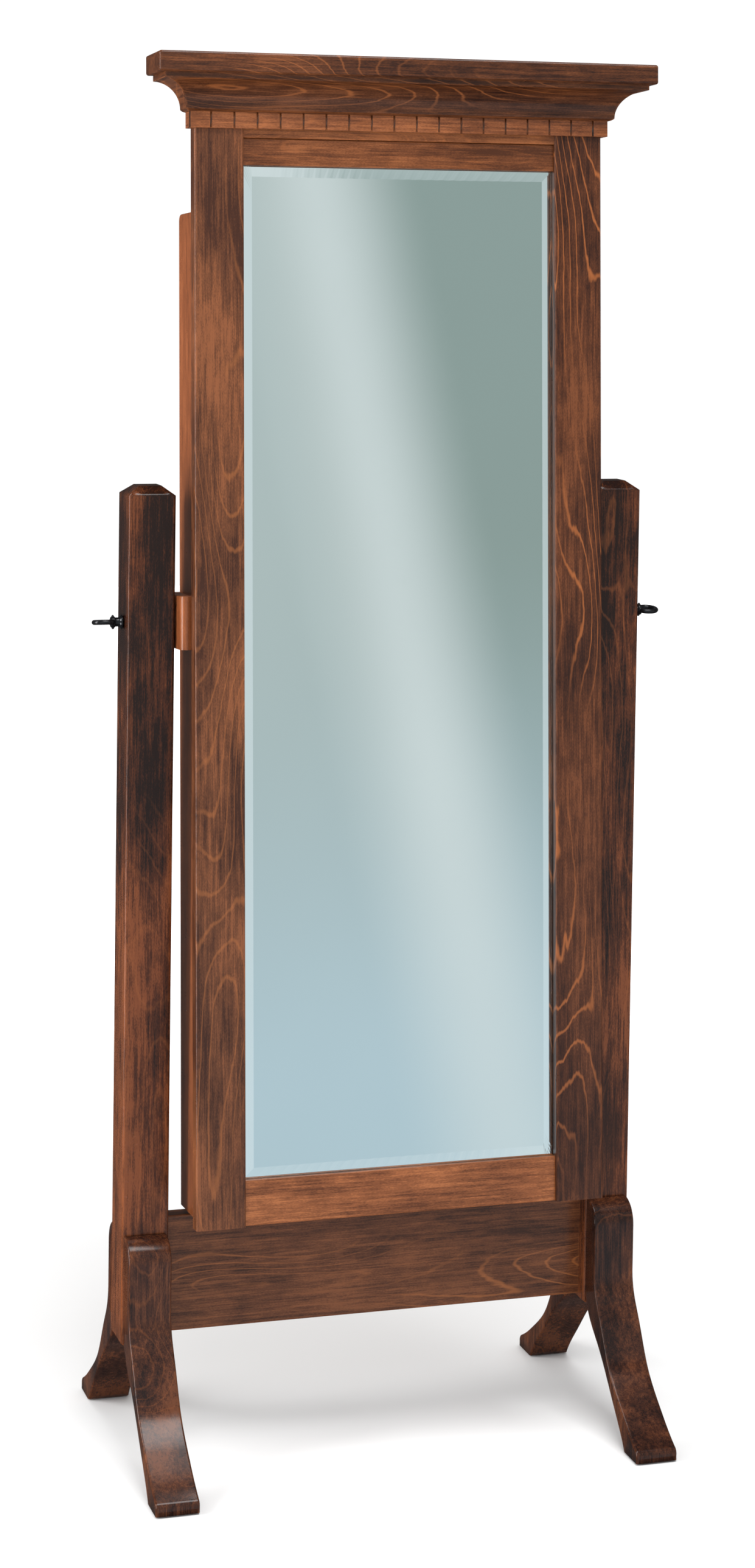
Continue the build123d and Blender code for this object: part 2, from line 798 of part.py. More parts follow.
def hinge_bore(level):
    """The pin's hole through the barrel."""
    half = hinge_height / 2 + cut_through
    return rod_z(hinge_x, hinge_y, level - half, level + half, hinge_pin_radius + hinge_pin_gap)


def opposite_room(level, shares):
    """The space round the other leaf's knuckles, cut out of a plate."""
    base = level - hinge_height / 2
    radius = hinge_barrel_radius + knuckle_split
    tools = []
    for low, high in shares:
        tools.append(slab(hinge_x - radius, hinge_x + radius, hinge_y - radius, hinge_y + radius,
                          base + low * hinge_height - knuckle_split / 2,
                          base + high * hinge_height + knuckle_split / 2))
    return tools


def cabinet_leaf(level):
    """The leaf on the cabinet, with the two outer knuckles."""
    body = leaf_plate(level, cabinet_front, 1) + knuckle(level, 0, 1 / 3) + knuckle(level, 2 / 3, 1)
    for tool in opposite_room(level, [(1 / 3, 2 / 3)]):
        body -= tool
    body -= hinge_bore(level)
    for screw in hinge_screws(1):
        body -= screw
    return body


def door_leaf(level):
    """The leaf on the door, with the middle knuckle."""
    body = leaf_plate(level, door_back, -1) + knuckle(level, 1 / 3, 2 / 3)
    for tool in opposite_room(level, [(0, 1 / 3), (2 / 3, 1)]):
        body -= tool
    body -= hinge_bore(level)
    for screw in hinge_screws(-1):
        body -= screw
    return body


def hinge_room(level):
    """The space cut in the stile for a leaf and for the turning barrel."""
    half = hinge_height / 2 + hinge_swing_gap
    radius = hinge_barrel_radius + hinge_swing_gap
    barrel = slab(hinge_x - radius, hinge_x + radius, hinge_y - radius, door_back + cut_through,
                  level - half, level + half)
    room = leaf_plate(level, door_back, -1, leaf_room) + barrel
    for screw in hinge_screws(-1):
        room += screw
    return room


def hinge_screws(way):
    """Countersunk screws of every leaf on one side; way is 1 in the cabinet and -1 in the door."""
    x = hinge_x - hinge_barrel_radius - hinge_leaf_reach / 2
    face = cabinet_front if way > 0 else door_back
    screws = []
    for level in hinge_levels:
        for z in (level - hinge_height / 3, level + hinge_height / 3):
            shaft = rod_y(x, face, face + way * hinge_screw_length, z, hinge_screw_radius)
            head = Pos(x, face + way * hinge_leaf / 2, z) * Rot(-90 * way, 0, 0)
            screws.append(shaft + head * Cone(hinge_screw_head, hinge_screw_radius, hinge_leaf))
    return screws


def hinge_pins():
    """The three hinge pins."""
    half = hinge_height / 2
    return [rod_z(hinge_x, hinge_y, level - half, level + half, hinge_pin_radius)
            for level in hinge_levels]


def magnetic_catch():
    """The catch on the inside of the cabinet's left side."""
    front = cabinet_front + catch_setback
    body = slab(-cabinet_inner, -cabinet_inner + catch_width, front, front + catch_depth,
                -catch_length / 2, catch_length / 2)
    return fillet(body.edges().filter_by(Axis.Y), catch_ease)


def catch_strike():
    """The steel plate on the door that the catch holds."""
    half = catch_length / 2 - strike_end
    return slab(-cabinet_inner + strike_inset, -cabinet_inner + catch_width - strike_inset,
                door_back, door_back + strike_thickness, -half, half)


def door_bumpers():
    """Two felt dots that close the gap between door and cabinet."""
    x = -(half_cabinet - board / 2)
    thick = door_gap - bumper_room
    return [rod_y(x, door_back, door_back + thick, z, bumper_radius)
            for z in (cabinet_foot + board / 2, cabinet_top - board / 2)]


# ---- the nodes ----------------------------------------------------------------------------------------
for side_name, sign in SIDES:
    keep(f"post_{side_name}", post(sign))
    keep(f"leg_front_{side_name}", leg(sign, -1))
    keep(f"leg_rear_{side_name}", leg(sign, 1))
    keep(f"ring_screw_{side_name}", ring_screw(sign))
    keep(f"pivot_block_{side_name}", pivot_block(sign), head=True)
    keep(f"threaded_insert_{side_name}", threaded_insert(sign), head=True)
    keep(f"friction_washer_{side_name}", friction_washer(sign), head=True)
    keep(f"cabinet_side_{side_name}", cabinet_side(sign), head=True)
    keep(f"stile_{side_name}", stile(sign), head=True)
    keep(f"crown_return_{side_name}", crown_return(sign), head=True)
    keep(f"dentil_return_{side_name}", dentil_return(sign), head=True)
keep("foot_glides", *[glide(sign, way) for _, sign in SIDES for way in (-1, 1)])
keep("stretcher", stretcher())
keep("stand_dowels", *stretcher_dowels(), *leg_dowels())
keep("pivot_block_screws", *[screw for _, sign in SIDES for screw in block_screws(sign)], head=True)

for rail_name in rail_levels():
    keep(rail_name, rail(rail_name), head=True)
keep("mirror_glass", mirror_glass(), head=True)
keep("mirror_backing", mirror_backing(), head=True)
keep("backing_clips", *backing_clips(), head=True)
keep("backing_clip_screws", *clip_screws(), head=True)
keep("crown_front", crown_front(), head=True)
keep("dentil_front", dentil_front(), head=True)
keep("cap_board", cap_board(), head=True)

keep("cabinet_top", cabinet_top_board(), head=True)
keep("cabinet_bottom", cabinet_bottom_board(), head=True)
keep("cabinet_back", back_rebate(), head=True)
keep("back_lining", back_lining(), head=True)
for shelf_name, shelf_level in zip(("lower", "middle", "upper"), shelf_levels):
    keep(f"shelf_{shelf_name}", shelf(shelf_level), head=True)
keep("shelf_lips", *shelf_lips(), head=True)
keep("necklace_rail", necklace_rail(), head=True)
keep("necklace_hooks", *necklace_hooks(), head=True)
keep("bracelet_bar", bracelet_bar(), head=True)
keep("ring_pad", ring_pad(), head=True)

for hinge_name, hinge_level in zip(("lower", "middle", "upper"), hinge_levels):
    keep(f"hinge_{hinge_name}_cabinet_leaf", cabinet_leaf(hinge_level), head=True)
    keep(f"hinge_{hinge_name}_door_leaf", door_leaf(hinge_level), head=True)
keep("hinge_pins", *hinge_pins(), head=True)
keep("hinge_screws_cabinet", *hinge_screws(1), head=True)
keep("hinge_screws_door", *hinge_screws(-1), head=True)
keep("magnetic_catch", magnetic_catch(), head=True)
keep("catch_strike", catch_strike(), head=True)
keep("door_bumpers", *door_bumpers(), head=True)

os.makedirs("parts", exist_ok=True)
for node_name, node_shape in nodes.items():
    export_step(node_shape, f"parts/{node_name}.step")
print(len(nodes), "nodes written")
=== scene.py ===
"""Looks of a cheval floor mirror: a jewellery cabinet behind a mirror door, tilting between two posts."""
import json
import logging
import math
from dataclasses import dataclass
from enum import Enum
from typing import Any, Callable, Iterable, Mapping, Sequence

import bmesh
import bpy
from mathutils import Matrix, Vector


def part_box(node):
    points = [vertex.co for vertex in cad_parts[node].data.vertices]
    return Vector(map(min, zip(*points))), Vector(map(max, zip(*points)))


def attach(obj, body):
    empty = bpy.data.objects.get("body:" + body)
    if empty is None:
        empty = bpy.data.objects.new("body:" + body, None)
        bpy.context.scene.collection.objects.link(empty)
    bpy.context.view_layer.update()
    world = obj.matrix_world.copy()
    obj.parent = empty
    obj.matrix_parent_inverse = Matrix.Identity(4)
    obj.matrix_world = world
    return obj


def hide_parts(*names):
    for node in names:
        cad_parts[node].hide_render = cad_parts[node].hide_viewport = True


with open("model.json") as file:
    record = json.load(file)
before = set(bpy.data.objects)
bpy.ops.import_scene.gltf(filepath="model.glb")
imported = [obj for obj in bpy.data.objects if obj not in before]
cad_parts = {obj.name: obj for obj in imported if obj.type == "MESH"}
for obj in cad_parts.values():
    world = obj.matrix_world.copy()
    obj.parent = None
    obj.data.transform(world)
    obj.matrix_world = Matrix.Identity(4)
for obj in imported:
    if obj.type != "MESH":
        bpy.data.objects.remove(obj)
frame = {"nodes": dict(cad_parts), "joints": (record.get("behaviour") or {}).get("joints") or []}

LOG = logging.getLogger("cheval_mirror")
Colour = tuple[float, float, float]
Socket = bpy.types.NodeSocket


class Grain(Enum):
    """The direction that a board's grain runs in."""
    UPRIGHT = "z"
    ACROSS = "x"
    DEEP = "y"


class Side(Enum):
    """The two sides of the stand, as the viewer sees them."""
    LEFT = -1
    RIGHT = 1


# ---- the frame ------------------------------------------------------------------------------------------
@dataclass(frozen=True)
class HeadFrame:
    """The upright frame of the tilting head, which leans back as the mirror stands."""
    pivot: Vector
    lean: float

    @classmethod
    def read(cls) -> "HeadFrame":
        """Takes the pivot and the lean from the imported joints."""
        joints = {joint["name"]: joint for joint in frame["joints"]}
        _, along_y, along_z = joints["door_swing"]["axis"]
        return cls(Vector(joints["head_tilt"]["pos_m"]), math.atan2(along_y, along_z))

    def matrix(self) -> Matrix:
        """The head frame's place in the row frame."""
        return Matrix.Translation(self.pivot) @ Matrix.Rotation(-self.lean, 4, "X")

    def box(self, node: str) -> tuple[Vector, Vector]:
        """A CAD node's lowest and highest corners, in the head frame.

        Args:
            node: The node's name.

        Returns:
            The two corners, in metres.
        """
        inverse = self.matrix().inverted()
        points = [inverse @ vertex.co for vertex in frame["nodes"][node].data.vertices]
        low = Vector([min(point[i] for point in points) for i in range(3)])
        high = Vector([max(point[i] for point in points) for i in range(3)])
        return low, high


# ---- wiring nodes ---------------------------------------------------------------------------------------
class Net:
    """A node tree that is being wired."""

    def __init__(self, tree: bpy.types.NodeTree) -> None:
        """Keeps the tree."""
        self.tree = tree

    def add(self, kind: str, values: Mapping[int | str, Any] | None = None,
            **settings: Any) -> bpy.types.Node:
        """Adds a node.

        Args:
            kind: The node's type.
            values: What each input, by name or number, is set to or linked from.
            **settings: The node's own properties.

        Returns:
            The new node.
        """
        node = self.tree.nodes.new(kind)
        for name, value in settings.items():
            setattr(node, name, value)
        for key, value in (values or {}).items():
            if isinstance(value, Socket):
                self.tree.links.new(value, node.inputs[key])
            else:
                node.inputs[key].default_value = value
        return node

    def maths(self, operation: str, first: Any, second: Any = 0.0, clamp: bool = False) -> Socket:
        """The result of one sum on two numbers or sockets."""
        node = self.add("ShaderNodeMath", {0: first, 1: second}, operation=operation, use_clamp=clamp)
        return node.outputs[0]

    def smooth(self, value: Socket, low: float, high: float, start: float = 0.0, end: float = 1.0) -> Socket:
        """Value taken smoothly from start at low to end at high."""
        node = self.add("ShaderNodeMapRange", {0: value, 1: low, 2: high, 3: start, 4: end},
                        interpolation_type="SMOOTHSTEP")
        return node.outputs[0]

    def mix(self, share: Any, first: Any, second: Any, blend: str = "MIX") -> Socket:
        """Two colours mixed."""
        paint = [value if isinstance(value, Socket) else (*value, 1.0) for value in (first, second)]
        node = self.add("ShaderNodeMix", {0: share, 6: paint[0], 7: paint[1]}, data_type="RGBA",
                        blend_type=blend)
        return node.outputs[2]

    def noise(self, vector: Socket, scale: float, detail: float = 2.0, rough: float = 0.5) -> Socket:
        """Fractal noise from 0 to 1."""
        node = self.add("ShaderNodeTexNoise",
                        {"Vector": vector, "Scale": scale, "Detail": detail, "Roughness": rough})
        return node.outputs[0]

    def stretch(self, vector: Socket, scale: Sequence[float]) -> Socket:
        """A vector multiplied by a factor on each axis."""
        node = self.add("ShaderNodeVectorMath", {0: vector, 1: tuple(scale)}, operation="MULTIPLY")
        return node.outputs[0]


def new_group(name: str, takes: Mapping[str, tuple[str, Any]], gives: Mapping[str, str],
              wire: Callable[[Net, Mapping[str, Socket]], Mapping[str, Socket]]) -> bpy.types.NodeTree:
    """Builds a shader node group once.

    Args:
        name: The group's name.
        takes: Each input's socket type and first value.
        gives: Each output's socket type.
        wire: Wires the inside, and returns the socket for each output.

    Returns:
        The group.
    """
    tree = bpy.data.node_groups.new(name, "ShaderNodeTree")
    for label, (kind, value) in takes.items():
        socket = tree.interface.new_socket(label, in_out="INPUT", socket_type=kind)
        if value is not None:
            socket.default_value = value
    for label, kind in gives.items():
        tree.interface.new_socket(label, in_out="OUTPUT", socket_type=kind)
    net = Net(tree)
    inside = net.add("NodeGroupInput")
    results = wire(net, {label: inside.outputs[label] for label in takes})
    net.add("NodeGroupOutput", dict(results))
    return tree


def wire_figure(net: Net, takes: Mapping[str, Socket]) -> Mapping[str, Socket]:
    """Figure of a stained maple board whose grain runs along Z: blotches, nested lines, streaks and pores."""
    shift = net.add("ShaderNodeVectorMath", {0: (1.73, 2.91, 4.37), 3: takes["Seed"]}, operation="SCALE")
    place = net.add("ShaderNodeVectorMath", {0: takes["Vector"], 1: shift.outputs[0]}, operation="ADD")
    vector = place.outputs[0]
    hills = net.noise(net.stretch(vector, (9.0, 9.0, 2.1)), 1.0, 1.0, 0.35)
    wobble = net.noise(net.stretch(vector, (150.0, 150.0, 30.0)), 1.0, 2.0)
    terrain = net.maths("ADD", hills, net.maths("MULTIPLY", wobble, 0.012))
    ring = net.maths("FRACT", net.maths("MULTIPLY", terrain, takes["Lines"]))
    crest = net.smooth(net.maths("ABSOLUTE", net.maths("SUBTRACT", ring, 0.5)), 0.40, 0.49)
    gate = net.smooth(net.noise(net.stretch(vector, (8.0, 8.0, 2.0)), 1.0, 1.0), 0.42, 0.60)
    line = net.maths("MULTIPLY", crest, gate)
    blotch = net.noise(net.stretch(vector, (16.0, 16.0, 5.0)), 1.0, 3.0, 0.55)
    cloud = net.noise(net.stretch(vector, (95.0, 95.0, 40.0)), 1.0, 3.0, 0.6)
    streak = net.noise(net.stretch(vector, (260.0, 260.0, 9.0)), 1.0, 3.0, 0.6)
    fibre = net.noise(net.stretch(vector, (850.0, 850.0, 26.0)), 1.0, 2.0, 0.6)
    pore = net.noise(net.stretch(vector, (1500.0, 1500.0, 380.0)), 1.0, 1.0, 0.5)
    parts = ((blotch, takes["Blotch"]), (cloud, 0.26), (streak, 0.50), (fibre, 0.40), (pore, 0.30))
    tone: Any = 0.5
    for value, share in parts:
        tone = net.maths("ADD", tone, net.maths("MULTIPLY", net.maths("SUBTRACT", value, 0.5), share))
    tone = net.maths("ADD", net.maths("MULTIPLY", net.maths("SUBTRACT", tone, 0.5), 2.6), 0.5, clamp=True)
    height = net.maths("ADD", net.maths("MULTIPLY", fibre, 0.6), net.maths("MULTIPLY", pore, 0.4))
    return {"Tone": tone, "Line": line, "Height": height}


def wire_arris(net: Net, takes: Mapping[str, Socket]) -> Mapping[str, Socket]:
    """Mask of the arrises, where the finish is rubbed thin, broken up along their length."""
    soft = net.add("ShaderNodeBevel", {"Radius": takes["Reach"]}, samples=4)
    plain = net.add("ShaderNodeNewGeometry")
    same = net.add("ShaderNodeVectorMath", {0: soft.outputs[0], 1: plain.outputs["Normal"]},
                   operation="DOT_PRODUCT")
    turned = net.smooth(same.outputs["Value"], 0.985, 0.90)
    broken = net.smooth(net.noise(takes["Vector"], 90.0, 3.0), 0.34, 0.66)
    return {"Mask": net.maths("MULTIPLY", turned, broken, clamp=True)}


def wire_haze(net: Net, takes: Mapping[str, Socket]) -> Mapping[str, Socket]:
    """Faint unevenness of a handled surface: a roughness share and a fine height."""
    cloud = net.noise(takes["Vector"], 26.0, 4.0, 0.6)
    speck = net.noise(takes["Vector"], 900.0, 2.0, 0.5)
    rough = net.maths("ADD", takes["Roughness"], net.maths("MULTIPLY", net.maths("SUBTRACT", cloud, 0.5),
                                                            takes["Spread"]), clamp=True)
    return {"Roughness": rough, "Speck": speck}


def build_groups() -> dict[str, bpy.types.NodeTree]:
    """The shader groups that several finishes share."""
    vector = ("NodeSocketVector", None)
    number = "NodeSocketFloat"
    return {
        "figure": new_group("board_figure",
                            {"Vector": vector, "Seed": (number, 0.0), "Lines": (number, 30.0),
                             "Blotch": (number, 0.8)},
                            {"Tone": number, "Line": number, "Height": number}, wire_figure),
        "arris": new_group("arris_rub", {"Vector": vector, "Reach": (number, 0.003)}, {"Mask": number},
                           wire_arris),
        "haze": new_group("handled_haze",
                          {"Vector": vector, "Roughness": (number, 0.3), "Spread": (number, 0.1)},
                          {"Roughness": number, "Speck": number}, wire_haze),
    }


GROUPS = build_groups()
HEAD = HeadFrame.read()


# ---- finishes -------------------------------------------------------------------------------------------
def new_material(name: str) -> tuple[bpy.types.Material, Net, bpy.types.Node]:
    """A material with a bare Principled shader wired to its output."""
    material = bpy.data.materials.new(name)
    material.use_nodes = True
    material.node_tree.nodes.clear()
    net = Net(material.node_tree)
    shader = net.add("ShaderNodeBsdfPrincipled")
    net.add("ShaderNodeOutputMaterial", {"Surface": shader.outputs[0]})
    return material, net, shader


def object_place(net: Net, leans: bool = False, grain: Grain = Grain.UPRIGHT,
                 centre: Vector = Vector((0.0, 0.0, 0.0))) -> Socket:
    """Object coordinates, stood upright and turned so that the grain runs along Z.

    Args:
        net: The material's net.
        leans: Whether the piece belongs to the leaning head.
        grain: The way the grain runs.
        centre: The middle of the board, about which its figure is drawn.

    Returns:
        The vector socket.
    """
    middle = net.add("ShaderNodeMapping", {"Vector": net.add("ShaderNodeTexCoord").outputs["Object"],
                                           "Location": tuple(-centre)})
    stand = net.add("ShaderNodeMapping", {"Vector": middle.outputs[0],
                                          "Rotation": (HEAD.lean if leans else 0.0, 0.0, 0.0)})
    quarter = math.pi / 2
    turn = {Grain.UPRIGHT: (0.0, 0.0, 0.0), Grain.ACROSS: (0.0, quarter, 0.0),
            Grain.DEEP: (quarter, 0.0, 0.0)}[grain]
    return net.add("ShaderNodeMapping", {"Vector": stand.outputs[0], "Rotation": turn}).outputs[0]


@dataclass(frozen=True)
class WoodFinish:
    """Stained maple under satin lacquer."""
    slot: str
    dark: Colour
    middle: Colour
    light: Colour
    line: Colour = (0.42, 0.13, 0.035)
    rub: Colour = (0.30, 0.095, 0.032)
    blotch: float = 0.8
    lines: float = 30.0
    roughness: float = 0.30
    line_strength: float = 0.45
    rub_strength: float = 0.45
    # painted shade: darkens the board towards its top, where less light falls
    painted_top_shade: float = 0.0

    def make(self, name: str, seed: float, grain: Grain, leans: bool, centre: Vector,
             half_tall: float, groove: tuple[Vector, float] | None = None) -> bpy.types.Material:
        """One board's material.

        Args:
            name: The material's name.
            seed: What sets this board's figure apart.
            grain: The way the grain runs.
            leans: Whether the board belongs to the leaning head.
            centre: The board's middle.
            half_tall: Half the board's height, over which the painted shade deepens towards the top.
            groove: Where a board is grooved, the way into its face and the face's distance from its middle.

        Returns:
            The material.
        """
        material, net, shader = new_material(name)
        place = object_place(net, leans, grain, centre)
        figure = net.add("ShaderNodeGroup", node_tree=GROUPS["figure"])
        for label, value in (("Seed", seed), ("Lines", self.lines), ("Blotch", self.blotch)):
            figure.inputs[label].default_value = value
        net.tree.links.new(place, figure.inputs["Vector"])
        upright = object_place(net, leans, Grain.UPRIGHT, centre)
        rise = net.add("ShaderNodeSeparateXYZ", {0: upright}).outputs[2]
        # painted shade: the tone falls from the board's foot towards its top
        shade = net.smooth(rise, -half_tall, half_tall, self.painted_top_shade / 2, -self.painted_top_shade / 2)
        tone = net.maths("ADD", figure.outputs["Tone"], shade, clamp=True)
        body = net.mix(net.smooth(tone, 0.0, 0.55), self.dark, self.middle)
        body = net.mix(net.smooth(tone, 0.45, 1.0), body, self.light)
        lined = net.mix(net.maths("MULTIPLY", figure.outputs["Line"], self.line_strength), body, self.line)
        arris = net.add("ShaderNodeGroup", {}, node_tree=GROUPS["arris"])
        net.tree.links.new(place, arris.inputs["Vector"])
        rubbed = net.mix(net.maths("MULTIPLY", arris.outputs["Mask"], self.rub_strength), lined, self.rub)
        # painted shade: the groove walls are painted near black
        if groove:
            rubbed = self.painted_groove_shade(net, rubbed, upright, *groove)
        net.tree.links.new(rubbed, shader.inputs["Base Color"])
        haze = net.add("ShaderNodeGroup", node_tree=GROUPS["haze"])
        haze.inputs["Roughness"].default_value = self.roughness
        haze.inputs["Spread"].default_value = 0.16
        net.tree.links.new(place, haze.inputs["Vector"])
        net.tree.links.new(haze.outputs["Roughness"], shader.inputs["Roughness"])
        bump = net.add("ShaderNodeBump", {"Height": figure.outputs["Height"], "Strength": 0.10,
                                          "Distance": 0.0004})
        net.tree.links.new(bump.outputs[0], shader.inputs["Normal"])
        shader.inputs["Specular IOR Level"].default_value = 0.22
        shader.inputs["Coat Weight"].default_value = 0.14
        shader.inputs["Coat Roughness"].default_value = 0.14
        return material


    @staticmethod
    def painted_groove_shade(net: Net, paint: Socket, place: Socket, inward: Vector, face: float) -> Socket:
        """Paints dark shade into a board's grooves: the groove walls behind the face turn near black.

        Args:
            net: The material's net.
            paint: The board's colour.
            place: The upright place, measured from the board's middle.
            inward: The way into the grooved face.
            face: The face's distance from the middle, along that way.

        Returns:
            The new colour.
        """
        along = net.add("ShaderNodeVectorMath", {0: place, 1: tuple(inward)}, operation="DOT_PRODUCT")
        deep = net.smooth(along.outputs["Value"], face + 0.0001, face + 0.0007)
        turned = net.add("ShaderNodeSeparateXYZ", {0: net.add("ShaderNodeNewGeometry").outputs["Normal"]})
        walls = net.maths("LESS_THAN", net.maths("ABSOLUTE", turned.outputs[2]), 0.5)
        return net.mix(net.maths("MULTIPLY", deep, walls), paint, (0.004, 0.003, 0.003))


@dataclass(frozen=True)
class MetalFinish:
    """Metal, polished or black enamelled."""
    slot: str
    colour: Colour
    worn: Colour
    metallic: float
    roughness: float

    def make(self, name: str) -> bpy.types.Material:
        """The finish, paler on its arrises and a little uneven."""
        material, net, shader = new_material(name)
        place = object_place(net)
        haze = net.add("ShaderNodeGroup", node_tree=GROUPS["haze"])
        net.tree.links.new(place, haze.inputs["Vector"])
        haze.inputs["Roughness"].default_value = self.roughness
        haze.inputs["Spread"].default_value = 0.18
        arris = net.add("ShaderNodeGroup", node_tree=GROUPS["arris"])
        arris.inputs["Reach"].default_value = 0.0008
        net.tree.links.new(place, arris.inputs["Vector"])
        paint = net.mix(net.maths("MULTIPLY", arris.outputs["Mask"], 0.6), self.colour, self.worn)
        net.tree.links.new(paint, shader.inputs["Base Color"])
        net.tree.links.new(haze.outputs["Roughness"], shader.inputs["Roughness"])
        bump = net.add("ShaderNodeBump", {"Height": haze.outputs["Speck"], "Strength": 0.12,
                                          "Distance": 0.0002})
        net.tree.links.new(bump.outputs[0], shader.inputs["Normal"])
        shader.inputs["Metallic"].default_value = self.metallic
        return material


@dataclass(frozen=True)
class ClothFinish:
    """Felt or velvet, with its nap and a soft sheen."""
    slot: str
    shade: Colour
    tip: Colour
    sheen: float
    nap: float

    def make(self, name: str) -> bpy.types.Material:
        """The finish, matted in patches."""
        material, net, shader = new_material(name)
        place = object_place(net)
        nap = net.noise(place, 1600.0, 3.0, 0.7)
        patch = net.noise(place, 34.0, 3.0, 0.55)
        share = net.maths("ADD", net.maths("MULTIPLY", nap, 0.7), net.maths("MULTIPLY", patch, 0.5))
        paint = net.mix(net.smooth(share, 0.35, 0.85), self.shade, self.tip)
        net.tree.links.new(paint, shader.inputs["Base Color"])
        bump = net.add("ShaderNodeBump", {"Height": nap, "Strength": 0.6, "Distance": self.nap})
        net.tree.links.new(bump.outputs[0], shader.inputs["Normal"])
        shader.inputs["Roughness"].default_value = 0.92
        shader.inputs["Sheen Weight"].default_value = self.sheen
        return material


@dataclass(frozen=True)
class SilverFinish:
    """The silvered plate: a clear reflection with a faint green cast and fine handling marks."""
    slot: str = "mirror"
    colour: Colour = (0.90, 0.945, 0.935)

    def make(self, name: str) -> bpy.types.Material:
        """The finish."""
        material, net, shader = new_material(name)
        place = object_place(net, leans=True)
        cloud = net.noise(place, 5.0, 2.0)
        paint = net.mix(net.smooth(cloud, 0.3, 0.7), self.colour, tuple(0.985 * part for part in self.colour))
        net.tree.links.new(paint, shader.inputs["Base Color"])
        net.tree.links.new(net.smooth(net.noise(place, 60.0, 3.0), 0.4, 0.9, 0.018, 0.05),
                           shader.inputs["Roughness"])
        shader.inputs["Metallic"].default_value = 1.0
        return material


# painted light and shade: the left stile's copy is lighter and the right stile's darker, as light falls from
# the left
LIT_LEFT_STILE_WOOD = WoodFinish("frame_wood", (0.038, 0.012, 0.006), (0.095, 0.032, 0.013), (0.19, 0.063, 0.024),
                             line=(0.36, 0.12, 0.035), blotch=0.9, lines=24.0, line_strength=0.3)
SHADED_RIGHT_STILE_WOOD = WoodFinish("frame_wood", (0.022, 0.0065, 0.0035), (0.060, 0.018, 0.007),
                              (0.135, 0.042, 0.015), line=(0.36, 0.11, 0.03), blotch=0.8, lines=34.0,
                              line_strength=0.6)
RAIL_WOOD = WoodFinish("frame_wood", (0.058, 0.017, 0.006), (0.130, 0.040, 0.013), (0.25, 0.083, 0.028),
                       blotch=0.7, line_strength=0.2)
# painted light: a lighter copy of the rail wood for the bottom rail, where more light falls
LIT_LOW_RAIL_WOOD = WoodFinish("frame_wood", (0.090, 0.027, 0.009), (0.20, 0.063, 0.021), (0.36, 0.122, 0.042),
                           blotch=0.7, line_strength=0.2)
CROWN_WOOD = WoodFinish("crown_wood", (0.020, 0.006, 0.003), (0.056, 0.017, 0.006), (0.120, 0.038, 0.013),
                        blotch=0.6, line_strength=0.3)
DENTIL_WOOD = WoodFinish("crown_wood", (0.070, 0.021, 0.008), (0.165, 0.051, 0.018), (0.30, 0.100, 0.035),
                         blotch=0.5, line_strength=0.15)
# painted shade: the posts darken towards their tops
POST_WOOD = WoodFinish("stand_wood", (0.012, 0.004, 0.0025), (0.062, 0.017, 0.006), (0.175, 0.050, 0.016),
                       blotch=0.8, roughness=0.25, line_strength=0.12, painted_top_shade=0.55)
LEG_WOOD = WoodFinish("stand_wood", (0.013, 0.005, 0.004), (0.045, 0.015, 0.008), (0.115, 0.038, 0.016),
                      blotch=0.9, roughness=0.22, line_strength=0.1)
STRETCHER_WOOD = WoodFinish("stand_wood", (0.040, 0.013, 0.006), (0.110, 0.036, 0.014), (0.20, 0.068, 0.025),
                            line=(0.36, 0.12, 0.035), blotch=0.5, lines=26.0, line_strength=0.6)
CABINET_WOOD = WoodFinish("cabinet_wood", (0.10, 0.029, 0.010), (0.18, 0.052, 0.017), (0.26, 0.080, 0.028),
                          blotch=0.4, line_strength=0.08)
PANEL_WOOD = WoodFinish("panel_wood", (0.20, 0.11, 0.055), (0.32, 0.19, 0.10), (0.44, 0.28, 0.16),
                        (0.24, 0.13, 0.06), (0.46, 0.31, 0.19), roughness=0.55)
BLACK_IRON = MetalFinish("black_iron", (0.012, 0.012, 0.014), (0.06, 0.058, 0.055), 0.55, 0.24)
BRASS = MetalFinish("brass", (0.66, 0.47, 0.18), (0.86, 0.68, 0.34), 1.0, 0.24)
STEEL = MetalFinish("steel", (0.50, 0.50, 0.52), (0.74, 0.74, 0.76), 1.0, 0.32)
FIBRE = MetalFinish("fibre", (0.022, 0.022, 0.024), (0.07, 0.07, 0.07), 0.0, 0.7)
CATCH = MetalFinish("catch_plastic", (0.10, 0.052, 0.03), (0.2, 0.12, 0.08), 0.0, 0.42)
FELT = ClothFinish("felt", (0.018, 0.012, 0.011), (0.07, 0.05, 0.045), 0.35, 0.0005)
LINING = ClothFinish("felt", (0.03, 0.016, 0.014), (0.10, 0.055, 0.047), 0.45, 0.0005)
VELVET = ClothFinish("velvet", (0.035, 0.018, 0.02), (0.13, 0.07, 0.075), 0.9, 0.0004)
SILVER = SilverFinish()


# ---- making pieces --------------------------------------------------------------------------------------
def link_piece(name: str, mesh: bpy.types.Mesh, material: bpy.types.Material) -> bpy.types.Object:
    """An object at the origin that shows a mesh in one material."""
    mesh.materials.clear()
    mesh.materials.append(material)
    piece = bpy.data.objects.new(name, mesh)
    bpy.context.scene.collection.objects.link(piece)
    return piece


def settle(piece: bpy.types.Object, body: str, slot: str, *nodes: str) -> bpy.types.Object:
    """Makes a piece ride on a body and stand for CAD nodes.

    Args:
        piece: The finished piece.
        body: The CAD body's name.
        slot: The record's material slot; not used.
        *nodes: The CAD nodes that the piece stands for.

    Returns:
        The piece.
    """
    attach(piece, body)
    if nodes:
        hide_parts(*nodes)
    LOG.info("%s rides on %s", piece.name, body)
    return piece


def flatten(piece: bpy.types.Object) -> bpy.types.Object:
    """Turns what a piece's modifiers make into its own plain mesh."""
    bpy.context.view_layer.update()
    graph = bpy.context.evaluated_depsgraph_get()
    made = bpy.data.meshes.new_from_object(piece.evaluated_get(graph), depsgraph=graph)
    piece.modifiers.clear()
    piece.data = made
    return piece


